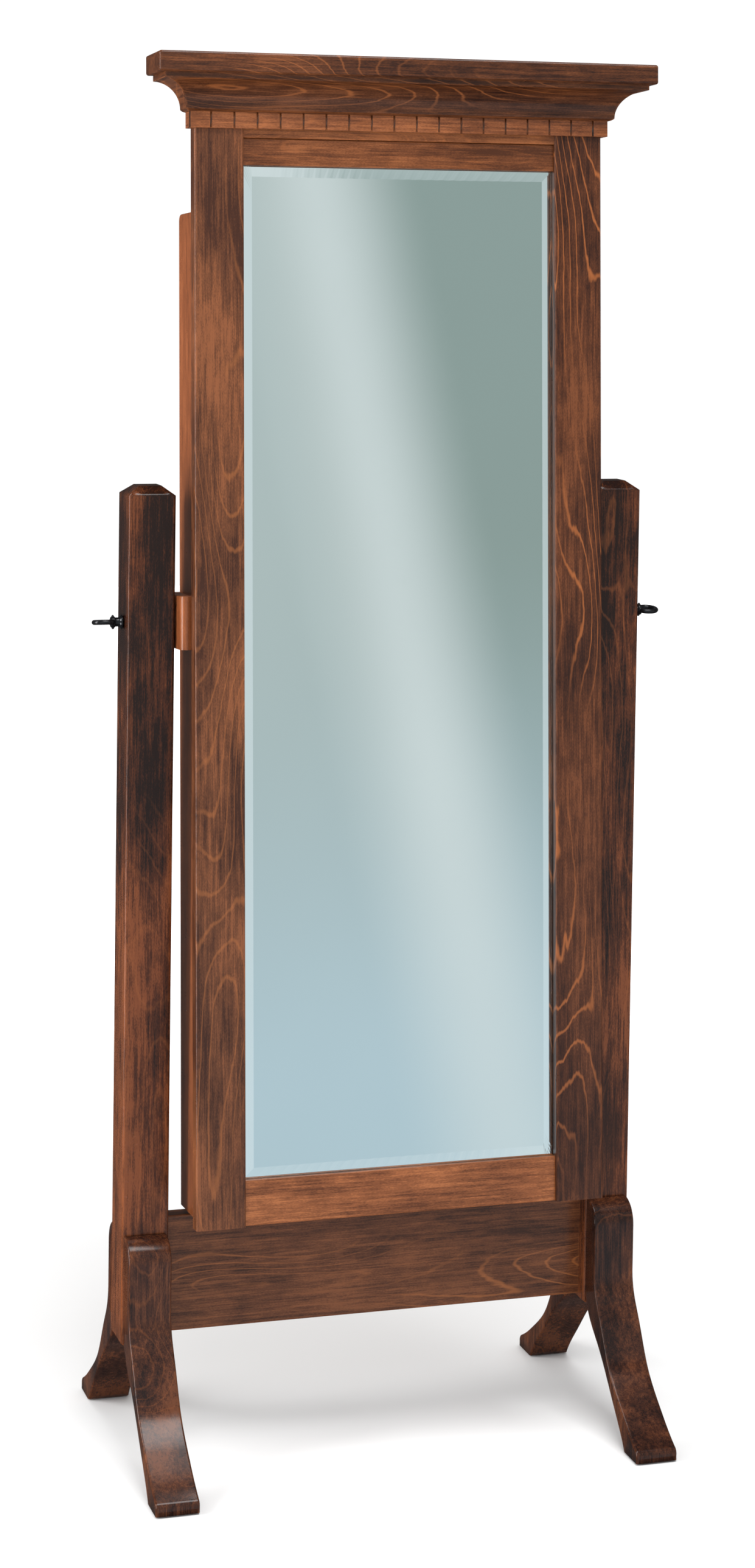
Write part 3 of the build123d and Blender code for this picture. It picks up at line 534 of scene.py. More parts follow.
def mesh_of(name: str, points: Sequence[Vector], faces: Sequence[Sequence[int]],
            smooth: bool) -> bpy.types.Mesh:
    """A mesh from points and faces, with outward normals."""
    mesh = bpy.data.meshes.new(name)
    mesh.from_pydata(points, [], faces)
    shape = bmesh.new()
    shape.from_mesh(mesh)
    bmesh.ops.remove_doubles(shape, verts=shape.verts, dist=1e-6)
    bmesh.ops.recalc_face_normals(shape, faces=shape.faces)
    shape.to_mesh(mesh)
    shape.free()
    mesh.polygons.foreach_set("use_smooth", [smooth] * len(mesh.polygons))
    return mesh


def merged_copy(node: str, sharp_deg: float) -> bpy.types.Mesh:
    """A CAD node's shape with its triangles joined, so that its round stretches shade smoothly.

    Args:
        node: The node's name.
        sharp_deg: Edges that turn further than this stay sharp.

    Returns:
        The new mesh.
    """
    mesh = frame["nodes"][node].data.copy()
    mesh.name = node + "_smooth"
    shape = bmesh.new()
    shape.from_mesh(mesh)
    bmesh.ops.remove_doubles(shape, verts=shape.verts, dist=2e-6)
    shape.to_mesh(mesh)
    shape.free()
    mesh.polygons.foreach_set("use_smooth", [True] * len(mesh.polygons))
    mesh.set_sharp_from_angle(angle=math.radians(sharp_deg))
    return mesh


def smooth_piece(node: str, body: str, slot: str, material: bpy.types.Material,
                 sharp_deg: float = 38.0) -> bpy.types.Object:
    """A smoothly shaded piece that stands for one CAD node of the same shape."""
    piece = link_piece(node + "_finished", merged_copy(node, sharp_deg), material)
    weigh = piece.modifiers.new("weigh", "WEIGHTED_NORMAL")
    weigh.keep_sharp = True
    return settle(flatten(piece), body, slot, node)


def islands(node: str, inverse: Matrix) -> list[tuple[Vector, Vector]]:
    """The boxes of a CAD node's separate solids.

    Args:
        node: The node's name.
        inverse: Takes row frame points to the frame that the boxes are wanted in.

    Returns:
        Each solid's lowest and highest corners.
    """
    shape = bmesh.new()
    shape.from_mesh(frame["nodes"][node].data)
    bmesh.ops.remove_doubles(shape, verts=shape.verts, dist=2e-6)
    left = set(shape.verts)
    boxes = []
    while left:
        front = [left.pop()]
        found = []
        while front:
            vertex = front.pop()
            found.append(inverse @ vertex.co)
            for edge in vertex.link_edges:
                other = edge.other_vert(vertex)
                if other in left:
                    left.remove(other)
                    front.append(other)
        boxes.append((Vector([min(p[i] for p in found) for i in range(3)]),
                      Vector([max(p[i] for p in found) for i in range(3)])))
    shape.free()
    return sorted(boxes, key=lambda box: tuple(round(part, 4) for part in box[0]))


# ---- geometry node trees --------------------------------------------------------------------------------
class RepeatTree:
    """A Geometry Nodes tree that sets one small shape on every point of a mesh, turned to an axis."""

    def __init__(self, name: str, sizes: Mapping[str, float], seed: int) -> None:
        """Starts the tree.

        Args:
            name: The tree's name.
            sizes: The named size inputs and their values in metres.
            seed: The seed of anything random.
        """
        self.tree = bpy.data.node_groups.new(name, "GeometryNodeTree")
        face = self.tree.interface
        face.new_socket("Geometry", in_out="INPUT", socket_type="NodeSocketGeometry")
        for label in sizes:
            face.new_socket(label, in_out="INPUT", socket_type="NodeSocketFloat")
        face.new_socket("Axis", in_out="INPUT", socket_type="NodeSocketVector")
        face.new_socket("Finish", in_out="INPUT", socket_type="NodeSocketMaterial")
        face.new_socket("Geometry", in_out="OUTPUT", socket_type="NodeSocketGeometry")
        self.net = Net(self.tree)
        self.inside = self.net.add("NodeGroupInput")
        self.sizes = dict(sizes)
        self.seed = seed

    def size(self, label: str) -> Socket:
        """The socket of a named size."""
        return self.inside.outputs[label]

    def disc(self, radius: Any, depth: Any, level: Any = 0.0, top: Any = None, sides: int = 28) -> Socket:
        """A round solid along Z whose foot is at a level.

        Args:
            radius: The foot's radius.
            depth: The height.
            level: The foot's level.
            top: The top's radius, if it isn't the foot's.
            sides: How many sides it has.

        Returns:
            The geometry.
        """
        cone = self.net.add("GeometryNodeMeshCone", {"Vertices": sides, "Radius Bottom": radius,
                                                     "Radius Top": radius if top is None else top,
                                                     "Depth": depth})
        return self.moved(cone.outputs["Mesh"], level)

    def moved(self, geometry: Socket, level: Any) -> Socket:
        """Geometry lifted along Z."""
        lift = self.net.add("ShaderNodeCombineXYZ", {2: level})
        return self.net.add("GeometryNodeTransform", {"Geometry": geometry,
                                                      "Translation": lift.outputs[0]}).outputs[0]

    def close(self, shape: Socket, smooth_deg: float = 35.0) -> None:
        """Sets the shape on the points, turns it to the axis and gives it its finish."""
        net = self.net
        dots = net.add("GeometryNodeMeshToPoints", {"Mesh": self.inside.outputs["Geometry"]})
        turn = net.add("FunctionNodeAlignRotationToVector", {"Vector": self.inside.outputs["Axis"]}, axis="Z")
        spin = net.add("FunctionNodeRandomValue", {"Min": (0.0, 0.0, 0.0), "Max": (0.0, 0.0, math.tau),
                                                   "Seed": self.seed}, data_type="FLOAT_VECTOR")
        about = net.add("FunctionNodeRotateRotation", {"Rotation": turn.outputs[0]}, rotation_space="LOCAL")
        angles = net.add("FunctionNodeEulerToRotation", {0: spin.outputs[0]})
        net.tree.links.new(angles.outputs[0], about.inputs[1])
        self.set_out(dots.outputs[0], shape, about.outputs[0])

    def set_out(self, dots: Socket, shape: Socket, turn: Socket) -> None:
        """Ends the tree: the shape on its points, made real and given its finish.

        Args:
            dots: The points.
            shape: What stands on each of them.
            turn: How it is turned.
        """
        net = self.net
        placed = net.add("GeometryNodeInstanceOnPoints", {"Points": dots, "Instance": shape,
                                                          "Rotation": turn})
        whole = net.add("GeometryNodeRealizeInstances", {0: placed.outputs[0]})
        painted = net.add("GeometryNodeSetMaterial", {"Geometry": whole.outputs[0],
                                                      "Material": self.inside.outputs["Finish"]})
        net.add("NodeGroupOutput", {"Geometry": painted.outputs[0]})

    def grow(self, name: str, points: Sequence[Vector], axis: Vector,
             material: bpy.types.Material) -> bpy.types.Object:
        """Runs the tree on a set of points.

        Args:
            name: The new piece's name.
            points: Where the shape stands.
            axis: The direction that its Z axis is turned to.
            material: Its finish.

        Returns:
            The piece, as a plain mesh.
        """
        mesh = bpy.data.meshes.new(name)
        mesh.from_pydata(points, [], [])
        piece = link_piece(name, mesh, material)
        modifier = piece.modifiers.new("repeat", "NODES")
        modifier.node_group = self.tree
        wanted = {**self.sizes, "Axis": tuple(axis), "Finish": material}
        for item in self.tree.interface.items_tree:
            if item.in_out == "INPUT" and item.name in wanted:
                modifier[item.identifier] = wanted[item.name]
        flatten(piece)
        piece.data.set_sharp_from_angle(angle=math.radians(35.0))
        return piece


def screw_tree(name: str, head: float, rise: float, shank: float, length: float, sunk: bool) -> RepeatTree:
    """Screws with a cross recess: countersunk or round headed.

    Args:
        name: The tree's name.
        head: The head's radius.
        rise: The head's height.
        shank: The shank's radius.
        length: The whole length.
        sunk: Whether the head is countersunk, with its face at the point.

    Returns:
        The tree.
    """
    made = RepeatTree(name, {"Head": head, "Rise": rise, "Shank": shank, "Length": length}, seed=4)
    net = made.net
    down = net.maths("MULTIPLY", made.size("Rise"), -1.0)
    if sunk:
        cap = made.disc(made.size("Shank"), made.size("Rise"), down, made.size("Head"))
    else:
        crown = net.maths("MULTIPLY", made.size("Head"), 0.72)
        cap = made.disc(made.size("Head"), made.size("Rise"), 0.0, crown)
    arm = net.maths("MULTIPLY", made.size("Head"), 1.15)
    slim = net.maths("MULTIPLY", made.size("Head"), 0.26)
    deep = net.maths("MULTIPLY", made.size("Rise"), 1.1)
    cutters = []
    for across, along in ((arm, slim), (slim, arm)):
        bar = net.add("ShaderNodeCombineXYZ", {0: across, 1: along, 2: deep})
        cube = net.add("GeometryNodeMeshCube", {"Size": bar.outputs[0]})
        cutters.append(made.moved(cube.outputs["Mesh"], 0.0 if sunk else made.size("Rise")))
    cut = net.add("GeometryNodeMeshBoolean", {0: cap}, operation="DIFFERENCE")
    for cutter in cutters:
        net.tree.links.new(cutter, cut.inputs[1])
    start = down if sunk else net.maths("MULTIPLY", made.size("Length"), 0.0)
    stem = net.maths("SUBTRACT", made.size("Length"), made.size("Rise") if sunk else 0.0)
    rod = made.disc(made.size("Shank"), stem, net.maths("SUBTRACT", start, stem), sides=16)
    both = net.add("GeometryNodeJoinGeometry")
    for geometry in (rod, cut.outputs[0]):
        net.tree.links.new(geometry, both.inputs[0])
    made.close(both.outputs[0])
    return made


def felt_dot_tree(name: str, radius: float, depth: float) -> RepeatTree:
    """Round felt dots with a softened rim; the point is at the foot's middle."""
    made = RepeatTree(name, {"Radius": radius, "Depth": depth}, seed=9)
    net = made.net
    rim = net.maths("MULTIPLY", made.size("Depth"), 0.25)
    slim = net.maths("SUBTRACT", made.size("Radius"), rim)
    wall = net.maths("MULTIPLY", made.size("Depth"), 0.75)
    body = made.disc(made.size("Radius"), wall, 0.0, sides=40)
    lid = made.disc(made.size("Radius"), rim, wall, slim, sides=40)
    both = net.add("GeometryNodeJoinGeometry")
    for geometry in (body, lid):
        net.tree.links.new(geometry, both.inputs[0])
    joined = net.add("GeometryNodeMergeByDistance", {"Geometry": both.outputs[0], "Distance": 1e-6})
    made.close(joined.outputs[0])
    return made


# ---- sub-assemblies -------------------------------------------------------------------------------------
@dataclass
class Board:
    """One wooden CAD node and how it is finished."""
    node: str
    body: str
    finish: WoodFinish
    grain: Grain
    seed: float
    groove_way: Vector | None = None

    def dress(self, leans: bool) -> None:
        """Makes the board's smooth piece, with its own figure."""
        low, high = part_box(self.node)
        material = self.finish.make(self.node + "_wood", self.seed, self.grain, leans, (low + high) / 2,
                                    (high.z - low.z) / 2, self.groove())
        smooth_piece(self.node, self.body, self.finish.slot, material)


    def groove(self) -> tuple[Vector, float] | None:
        """The way into the grooved face, and how far that face is from the middle."""
        if self.groove_way is None:
            return None
        low, high = HEAD.box(self.node)
        half = (high - low) / 2
        return self.groove_way, -sum(abs(self.groove_way[i]) * half[i] for i in range(3))


@dataclass
class Stand:
    """The two posts, their legs and the stretcher."""
    glide_radius: float = 0.0145
    glide_depth: float = 0.002

    def boards(self) -> Iterable[Board]:
        """The stand's wooden pieces."""
        for index, side in enumerate(Side):
            tail = side.name.lower()
            yield Board(f"post_{tail}", "stand", POST_WOOD, Grain.UPRIGHT, 3.0 + index)
            for place, way in enumerate(("front", "rear")):
                yield Board(f"leg_{way}_{tail}", "stand", LEG_WOOD, Grain.UPRIGHT, 11.0 + 2 * index + place)
        yield Board("stretcher", "stand", STRETCHER_WOOD, Grain.ACROSS, 21.0)
        yield Board("stand_dowels", "stand", PANEL_WOOD, Grain.ACROSS, 22.0)

    def build(self) -> None:
        """Makes the stand's pieces."""
        for board in self.boards():
            board.dress(leans=False)
        tops = [Vector(((low.x + high.x) / 2, (low.y + high.y) / 2, 0.0))
                for low, high in islands("foot_glides", Matrix.Identity(4))]
        tree = felt_dot_tree("felt_glide", self.glide_radius, self.glide_depth)
        pads = tree.grow("felt_glides", tops, Vector((0, 0, 1)), FELT.make("glide_felt"))
        settle(pads, "stand", "felt", "foot_glides")


@dataclass
class TiltPivot:
    """The ring screws, the blocks that they turn in and what lies between."""
    screw_head: float = 0.004
    screw_rise: float = 0.002
    screw_shank: float = 0.002
    screw_length: float = 0.024

    def build(self) -> None:
        """Makes the pivot's pieces."""
        iron = BLACK_IRON.make("black_enamel")
        bush = BRASS.make("bush_brass")
        fibre = FIBRE.make("washer_fibre")
        for index, side in enumerate(Side):
            tail = side.name.lower()
            smooth_piece(f"ring_screw_{tail}", f"ring_screw_{tail}_body", "black_iron", iron)
            smooth_piece(f"threaded_insert_{tail}", "cabinet", "brass", bush)
            smooth_piece(f"friction_washer_{tail}", "cabinet", "fibre", fibre)
            block = Board(f"pivot_block_{tail}", "cabinet", CABINET_WOOD, Grain.UPRIGHT, 31.0 + index)
            block.dress(leans=True)
        self.block_screws()

    def block_screws(self) -> None:
        """Makes the screws through the cabinet's sides, in one piece for each side's direction."""
        tree = screw_tree("block_screw", self.screw_head, self.screw_rise, self.screw_shank,
                          self.screw_length, sunk=True)
        steel = STEEL.make("block_screw_steel")
        boxes = islands("pivot_block_screws", HEAD.matrix().inverted())
        pieces = []
        for side in Side:
            heads = []
            for low, high in boxes:
                if (low.x + high.x) * side.value > 0:
                    x = min(low.x, high.x, key=abs)
                    middle = Vector((x, (low.y + high.y) / 2, (low.z + high.z) / 2))
                    heads.append(HEAD.matrix() @ middle)
            pieces.append(tree.grow(f"block_screws_{side.name.lower()}", heads, Vector((-side.value, 0, 0)),
                                    steel))
        settle(pieces[0], "cabinet", "steel", "pivot_block_screws")
        settle(pieces[1], "cabinet", "steel", "pivot_block_screws")


@dataclass
class Door:
    """The mirror door: frame, glass and what holds it."""
    bevel_reach: float = 0.0202
    bevel_depth: float = 0.0012
    wave_long: float = 0.00055
    wave_short: float = 0.00012
    wave_pitch: float = 0.0145
    arris_step: float = 0.0036
    screw_head: float = 0.0028
    screw_rise: float = 0.001
    screw_shank: float = 0.00135
    screw_length: float = 0.009

    def build(self) -> None:
        """Makes the door's pieces."""
        # painted light and shade: the stiles take lit and shaded copies of one wood
        Board("stile_left", "door", LIT_LEFT_STILE_WOOD, Grain.UPRIGHT, 41.0).dress(True)
        Board("stile_right", "door", SHADED_RIGHT_STILE_WOOD, Grain.UPRIGHT, 44.0).dress(True)
        # painted light: the bottom rail takes the lit copy of the rail wood
        for index, (name, wood) in enumerate((("bottom_rail", LIT_LOW_RAIL_WOOD), ("top_rail", RAIL_WOOD),
                                              ("header_board", RAIL_WOOD))):
            Board(name, "door", wood, Grain.ACROSS, 51.0 + index).dress(True)
        Board("mirror_backing", "door", PANEL_WOOD, Grain.UPRIGHT, 57.0).dress(True)
        self.plate()
        steel = STEEL.make("clip_steel")
        for node in ("backing_clips", "catch_strike"):
            smooth_piece(node, "door", "steel", steel)
        self.clip_screws(STEEL.make("clip_screw_steel"))
        self.bumpers()

    def rim(self, half_wide: float, half_high: float, wavy: bool) -> list[tuple[float, float]]:
        """The points of one rectangular loop, in the plate's plane.

        Args:
            half_wide: Half the loop's width.
            half_high: Half its height.
            wavy: Whether the line wanders as hand grinding leaves it.

        Returns:
            The points, anticlockwise from the lower left corner.
        """
        across = max(2, round(2 * half_wide / self.arris_step))
        upward = max(2, round(2 * half_high / self.arris_step))
        points = []
        corners = [(-half_wide, -half_high), (half_wide, -half_high), (half_wide, half_high),
                   (-half_wide, half_high)]
        for start, (ax, az) in enumerate(corners):
            bx, bz = corners[(start + 1) % 4]
            count = across if start % 2 == 0 else upward
            swing = self.wave_long if start % 2 == 0 else self.wave_short
            for step in range(count):
                share = step / count
                run = share * 2 * (half_wide if start % 2 == 0 else half_high)
                ends = math.sin(math.pi * share) ** 0.5 if share > 0 else 0.0
                push = swing * abs(math.sin(math.pi * run / self.wave_pitch)) * ends if wavy else 0.0
                x, z = ax + (bx - ax) * share, az + (bz - az) * share
                if start % 2 == 0:
                    z += push if start == 0 else -push
                else:
                    x += -push if start == 1 else push
                points.append((x, z))
        return points

    def plate(self) -> None:
        """Makes the silvered plate, whose bevel meets the face in a slightly wandering line."""
        low, high = HEAD.box("mirror_glass")
        half_wide, half_high = (high.x - low.x) / 2, (high.z - low.z) / 2
        middle = (low + high) / 2
        loops = [
            (self.rim(half_wide, half_high, False), high.y),
            (self.rim(half_wide, half_high, False), low.y + self.bevel_depth),
            (self.rim(half_wide - self.bevel_reach, half_high - self.bevel_reach, True), low.y),
        ]
        count = len(loops[0][0])
        inner_count = len(loops[2][0])
        points = [HEAD.matrix() @ Vector((middle.x + x, y, middle.z + z))
                  for loop, y in loops for x, z in loop]
        faces = [list(range(count))]
        faces += [[i, (i + 1) % count, count + (i + 1) % count, count + i] for i in range(count)]
        faces += self.bridge(loops[1][0], loops[2][0], count, 2 * count)
        faces.append([2 * count + i for i in range(inner_count)])
        shape = mesh_of("mirror_plate", points, faces, False)
        plate = link_piece("mirror_plate", shape, SILVER.make("silver"))
        settle(plate, "door", "mirror", "mirror_glass")

    @staticmethod
    def bridge(outer: Sequence[tuple[float, float]], inner: Sequence[tuple[float, float]], outer_start: int,
               inner_start: int) -> list[list[int]]:
        """Triangles between two loops whose counts differ, walked side by side."""
        faces = []
        i = j = 0
        while i < len(outer) or j < len(inner):
            if j >= len(inner) or (i < len(outer) and (i + 1) / len(outer) <= (j + 1) / len(inner)):
                faces.append([outer_start + i, outer_start + (i + 1) % len(outer),
                              inner_start + j % len(inner)])
                i += 1
            else:
                faces.append([inner_start + j, outer_start + i % len(outer),
                              inner_start + (j + 1) % len(inner)])
                j += 1
        return faces

    def clip_screws(self, steel: bpy.types.Material) -> None:
        """Makes the round-headed screws in the clips."""
        tree = screw_tree("clip_screw", self.screw_head, self.screw_rise, self.screw_shank,
                          self.screw_length, sunk=False)
        spots = []
        for low, high in islands("backing_clip_screws", HEAD.matrix().inverted()):
            spots.append(HEAD.matrix() @ Vector(((low.x + high.x) / 2, high.y - self.screw_rise,
                                                 (low.z + high.z) / 2)))
        axis = HEAD.matrix().to_3x3() @ Vector((0, 1, 0))
        settle(tree.grow("clip_screws", spots, axis, steel), "door", "steel", "backing_clip_screws")

    def bumpers(self) -> None:
        """Makes the felt dots on the door's back."""
        boxes = islands("door_bumpers", HEAD.matrix().inverted())
        radius = (boxes[0][1].x - boxes[0][0].x) / 2
        depth = boxes[0][1].y - boxes[0][0].y
        spots = [HEAD.matrix() @ Vector(((low.x + high.x) / 2, low.y, (low.z + high.z) / 2))
                 for low, high in boxes]
        tree = felt_dot_tree("felt_bumper", radius, depth)
        axis = HEAD.matrix().to_3x3() @ Vector((0, 1, 0))
        settle(tree.grow("felt_bumpers", spots, axis, FELT.make("bumper_felt")), "door", "felt",
               "door_bumpers")


@dataclass
class Crown:
    """The cap, the coved moulding and the grooved strip."""

    def build(self) -> None:
        """Makes the crown's pieces."""
        Board("crown_front", "door", CROWN_WOOD, Grain.ACROSS, 61.0).dress(True)
        Board("cap_board", "door", CROWN_WOOD, Grain.ACROSS, 62.0).dress(True)
        Board("dentil_front", "door", DENTIL_WOOD, Grain.ACROSS, 63.0, Vector((0, 1, 0))).dress(True)
        for index, side in enumerate(Side):
            tail = side.name.lower()
            Board(f"crown_return_{tail}", "door", CROWN_WOOD, Grain.DEEP, 64.0 + index).dress(True)
            Board(f"dentil_return_{tail}", "door", DENTIL_WOOD, Grain.DEEP, 66.0 + index,
                  Vector((-side.value, 0, 0))).dress(True)


@dataclass
class Cabinet:
    """The shallow jewellery cabinet with its fittings."""
    lining_cells: int = 40
    lining_wave: float = 0.00012
    hook_wire: float = 0.0016
    hook_ball: float = 0.0024
    hook_rose: float = 0.00416
    hook_sunk: float = 0.008
    hook_rise: float = 0.010
    pad_rolls: int = 4
    boards: tuple[tuple[str, Grain], ...] = (
        ("cabinet_side_left", Grain.UPRIGHT), ("cabinet_side_right", Grain.UPRIGHT),
        ("cabinet_top", Grain.ACROSS), ("cabinet_bottom", Grain.ACROSS), ("shelf_lower", Grain.ACROSS),
        ("shelf_middle", Grain.ACROSS), ("shelf_upper", Grain.ACROSS), ("shelf_lips", Grain.ACROSS),
        ("necklace_rail", Grain.ACROSS))

    def build(self) -> None:
        """Makes the cabinet's pieces."""
        for index, (node, grain) in enumerate(self.boards):
            Board(node, "cabinet", CABINET_WOOD, grain, 71.0 + index).dress(True)
        Board("cabinet_back", "cabinet", PANEL_WOOD, Grain.UPRIGHT, 85.0).dress(True)
        brass = BRASS.make("fitting_brass")
        smooth_piece("bracelet_bar", "cabinet", "brass", brass)
        smooth_piece("magnetic_catch", "cabinet", "catch_plastic", CATCH.make("catch_moulding"))
        self.lining()
        self.pad()
        self.hooks(brass)

    def lining(self) -> None:
        """Makes the felt that covers the inside of the back."""
        low, high = HEAD.box("back_lining")
        wide, tall = high.x - low.x, high.z - low.z
        rows = self.lining_cells * 2
        points = []
        for row in range(rows + 1):
            for cell in range(self.lining_cells + 1):
                u, v = cell / self.lining_cells, row / rows
                wave = self.lining_wave * (1 + math.sin(23 * u + 4 * math.sin(9 * v)) * math.cos(31 * v))
                points.append(HEAD.matrix() @ Vector((low.x + wide * u, low.y + wave, low.z + tall * v)))
        stride = self.lining_cells + 1
        faces = [[r * stride + c, r * stride + c + 1, (r + 1) * stride + c + 1, (r + 1) * stride + c]
                 for r in range(rows) for c in range(self.lining_cells)]
        shape = mesh_of("felt_lining", points, faces, True)
        felt = link_piece("felt_lining", shape, LINING.make("lining_felt"))
        solid = felt.modifiers.new("thickness", "SOLIDIFY")
        solid.thickness = high.y - low.y - 2 * self.lining_wave
        front = HEAD.matrix().to_3x3() @ Vector((0, -1, 0))
        solid.offset = -1.0 if felt.data.polygons[0].normal.dot(front) > 0 else 1.0
        settle(flatten(felt), "cabinet", "felt", "back_lining")

    def pad(self) -> None:
        """Makes the velvet ring pad: soft rolls side by side, drawn in at their ends and seams."""
        low, high = HEAD.box("ring_pad")
        wide, deep, tall = (high - low)
        roll = deep / self.pad_rolls
        across, along = 18 * self.pad_rolls, 90
        points: list[Vector] = []

        def level(u: float, v: float) -> float:
            """The pad's height above its foot, at shares of its width and depth."""
            crown = abs(math.sin(math.pi * v * self.pad_rolls)) ** 0.55
            ends = min(1.0, min(u, 1 - u) * wide / (roll * 0.5))
            hem = math.sqrt(max(0.0, 1 - (1 - ends) ** 2))
            pucker = 1 - 0.02 * math.sin(53 * u + 7 * v) * crown
            return tall * (0.34 + 0.64 * crown * (0.25 + 0.75 * hem) * pucker)

        for row in range(across + 1):
            for cell in range(along + 1):
                u, v = cell / along, row / across
                points.append(Vector((low.x + wide * u, low.y + deep * v, low.z + level(u, v))))
        stride = along + 1
        top = len(points)
        points += [Vector((point.x, point.y, low.z)) for point in points]
        faces = []
        for row in range(across):
            for cell in range(along):
                a = row * stride + cell
                faces.append([a, a + 1, a + stride + 1, a + stride])
                faces.append([top + a, top + a + stride, top + a + stride + 1, top + a + 1])
        border = ([c for c in range(along)] + [r * stride + along for r in range(across)]
                  + [across * stride + along - c for c in range(along)]
                  + [(across - r) * stride for r in range(across)])
        for here, there in zip(border, border[1:] + border[:1]):
            faces.append([here, top + here, top + there, there])
        placed = [HEAD.matrix() @ point for point in points]
        pad = link_piece("velvet_ring_pad", mesh_of("velvet_ring_pad", placed, faces, True),
                         VELVET.make("ring_velvet"))
        pad.data.set_sharp_from_angle(angle=math.radians(60.0))
        settle(pad, "cabinet", "velvet", "ring_pad")

    def hooks(self, brass: bpy.types.Material) -> None:
        """Makes the necklace hooks: a rose, a bent arm and a ball tip on every place."""
        boxes = islands("necklace_hooks", HEAD.matrix().inverted())
        low, high = boxes[0]
        wire, ball, rose, sunk, rise = (self.hook_wire, self.hook_ball, self.hook_rose, self.hook_sunk,
                                        self.hook_rise)
        reach = high.y - sunk - (low.y + ball)
        level = low.z + rose
        made = RepeatTree("necklace_hook", {"Wire": wire, "Ball": ball, "Rose": rose, "Reach": reach,
                                            "Rise": rise, "Sunk": sunk}, seed=2)
        net = made.net
        back = made.disc(made.size("Wire"), made.size("Sunk"), net.maths("MULTIPLY", made.size("Sunk"), -1.0),
                         sides=16)
        path = net.add("GeometryNodeCurvePrimitiveBezierSegment",
                       {"Resolution": 18, "Start": (0.0, 0.0, 0.0)}, mode="POSITION")
        knee = net.add("ShaderNodeCombineXYZ", {2: made.size("Reach")})
        tip = net.add("ShaderNodeCombineXYZ", {1: made.size("Rise"), 2: made.size("Reach")})
        bend = net.add("ShaderNodeCombineXYZ", {2: net.maths("MULTIPLY", made.size("Reach"), 0.7)})
        for label, node in (("Start Handle", bend), ("End Handle", knee), ("End", tip)):
            net.tree.links.new(node.outputs[0], path.inputs[label])
        ring = net.add("GeometryNodeCurvePrimitiveCircle", {"Resolution": 14, "Radius": made.size("Wire")})
        arm = net.add("GeometryNodeCurveToMesh", {"Curve": path.outputs[0],
                                                  "Profile Curve": ring.outputs[0], "Fill Caps": True})
        knob = net.add("GeometryNodeMeshUVSphere", {"Segments": 18, "Rings": 12, "Radius": made.size("Ball")})
        knob = net.add("GeometryNodeTransform", {"Geometry": knob.outputs["Mesh"],
                                                 "Translation": tip.outputs[0]})
        collar = made.disc(made.size("Rose"), 0.0012, 0.0, net.maths("MULTIPLY", made.size("Rose"), 0.8))
        whole = net.add("GeometryNodeJoinGeometry")
        for geometry in (back, arm.outputs[0], knob.outputs[0], collar):
            net.tree.links.new(geometry, whole.inputs[0])
        self.close_upright(made, whole.outputs[0])
        spots = [HEAD.matrix() @ Vector(((a.x + b.x) / 2, b.y - sunk, level)) for a, b in boxes]
        axis = HEAD.matrix().to_3x3() @ Vector((0, -1, 0))
        piece = made.grow("brass_hooks", spots, axis, brass)
        settle(piece, "cabinet", "brass", "necklace_hooks")

    @staticmethod
    def close_upright(made: RepeatTree, shape: Socket) -> None:
        """Closes a tree whose shape keeps its Y axis upward, as a hook does."""
        net = made.net
        dots = net.add("GeometryNodeMeshToPoints", {"Mesh": made.inside.outputs["Geometry"]})
        first = net.add("FunctionNodeAlignRotationToVector", {"Vector": made.inside.outputs["Axis"]},
                        axis="Z")
        upright = net.add("FunctionNodeAlignRotationToVector",
                          {"Rotation": first.outputs[0], "Vector": (0.0, 0.0, 1.0)}, axis="Y", pivot_axis="Z")
        made.set_out(dots.outputs[0], shape, upright.outputs[0])


@dataclass
class DoorHinges:
    """The three butt hinges with their pins and screws."""
    head: float = 0.0032
    rise: float = 0.0015
    shank: float = 0.0016
    length: float = 0.011
    levels: tuple[str, ...] = ("lower", "middle", "upper")

    def build(self) -> None:
        """Makes the hinges' pieces."""
        brass = BRASS.make("hinge_brass")
        for level in self.levels:
            smooth_piece(f"hinge_{level}_cabinet_leaf", "cabinet", "brass", brass)
            smooth_piece(f"hinge_{level}_door_leaf", "door", "brass", brass)
        smooth_piece("hinge_pins", "cabinet", "brass", brass)
        tree = screw_tree("hinge_screw", self.head, self.rise, self.shank, self.length, sunk=True)
        for body, way in (("cabinet", -1.0), ("door", 1.0)):
            node = f"hinge_screws_{body}"
            spots = []
            for low, high in islands(node, HEAD.matrix().inverted()):
                y = low.y if way < 0 else high.y
                spots.append(HEAD.matrix() @ Vector(((low.x + high.x) / 2, y, (low.z + high.z) / 2)))
            axis = HEAD.matrix().to_3x3() @ Vector((0, way, 0))
            settle(tree.grow(f"{body}_hinge_screws", spots, axis, brass), body, "brass", node)


# ---- studio ---------------------------------------------------------------------------------------------
@dataclass(frozen=True)
class Lamp:
    """One soft light: its name, its place, what it is turned to, its size and its power in watts."""
    name: str
    place: Sequence[float]
    aim: Sequence[float]
    wide: float
    tall: float
    power: float

    def hang(self) -> None:
        """Hangs the light."""
        data = bpy.data.lights.new(self.name, "AREA")
        data.shape = "RECTANGLE"
        data.size, data.size_y, data.energy = self.wide, self.tall, self.power
        light = bpy.data.objects.new(self.name, data)
        light.location = self.place
        light.rotation_euler = (Vector(self.aim) - Vector(self.place)).to_track_quat("-Z", "Y").to_euler()
        bpy.context.scene.collection.objects.link(light)


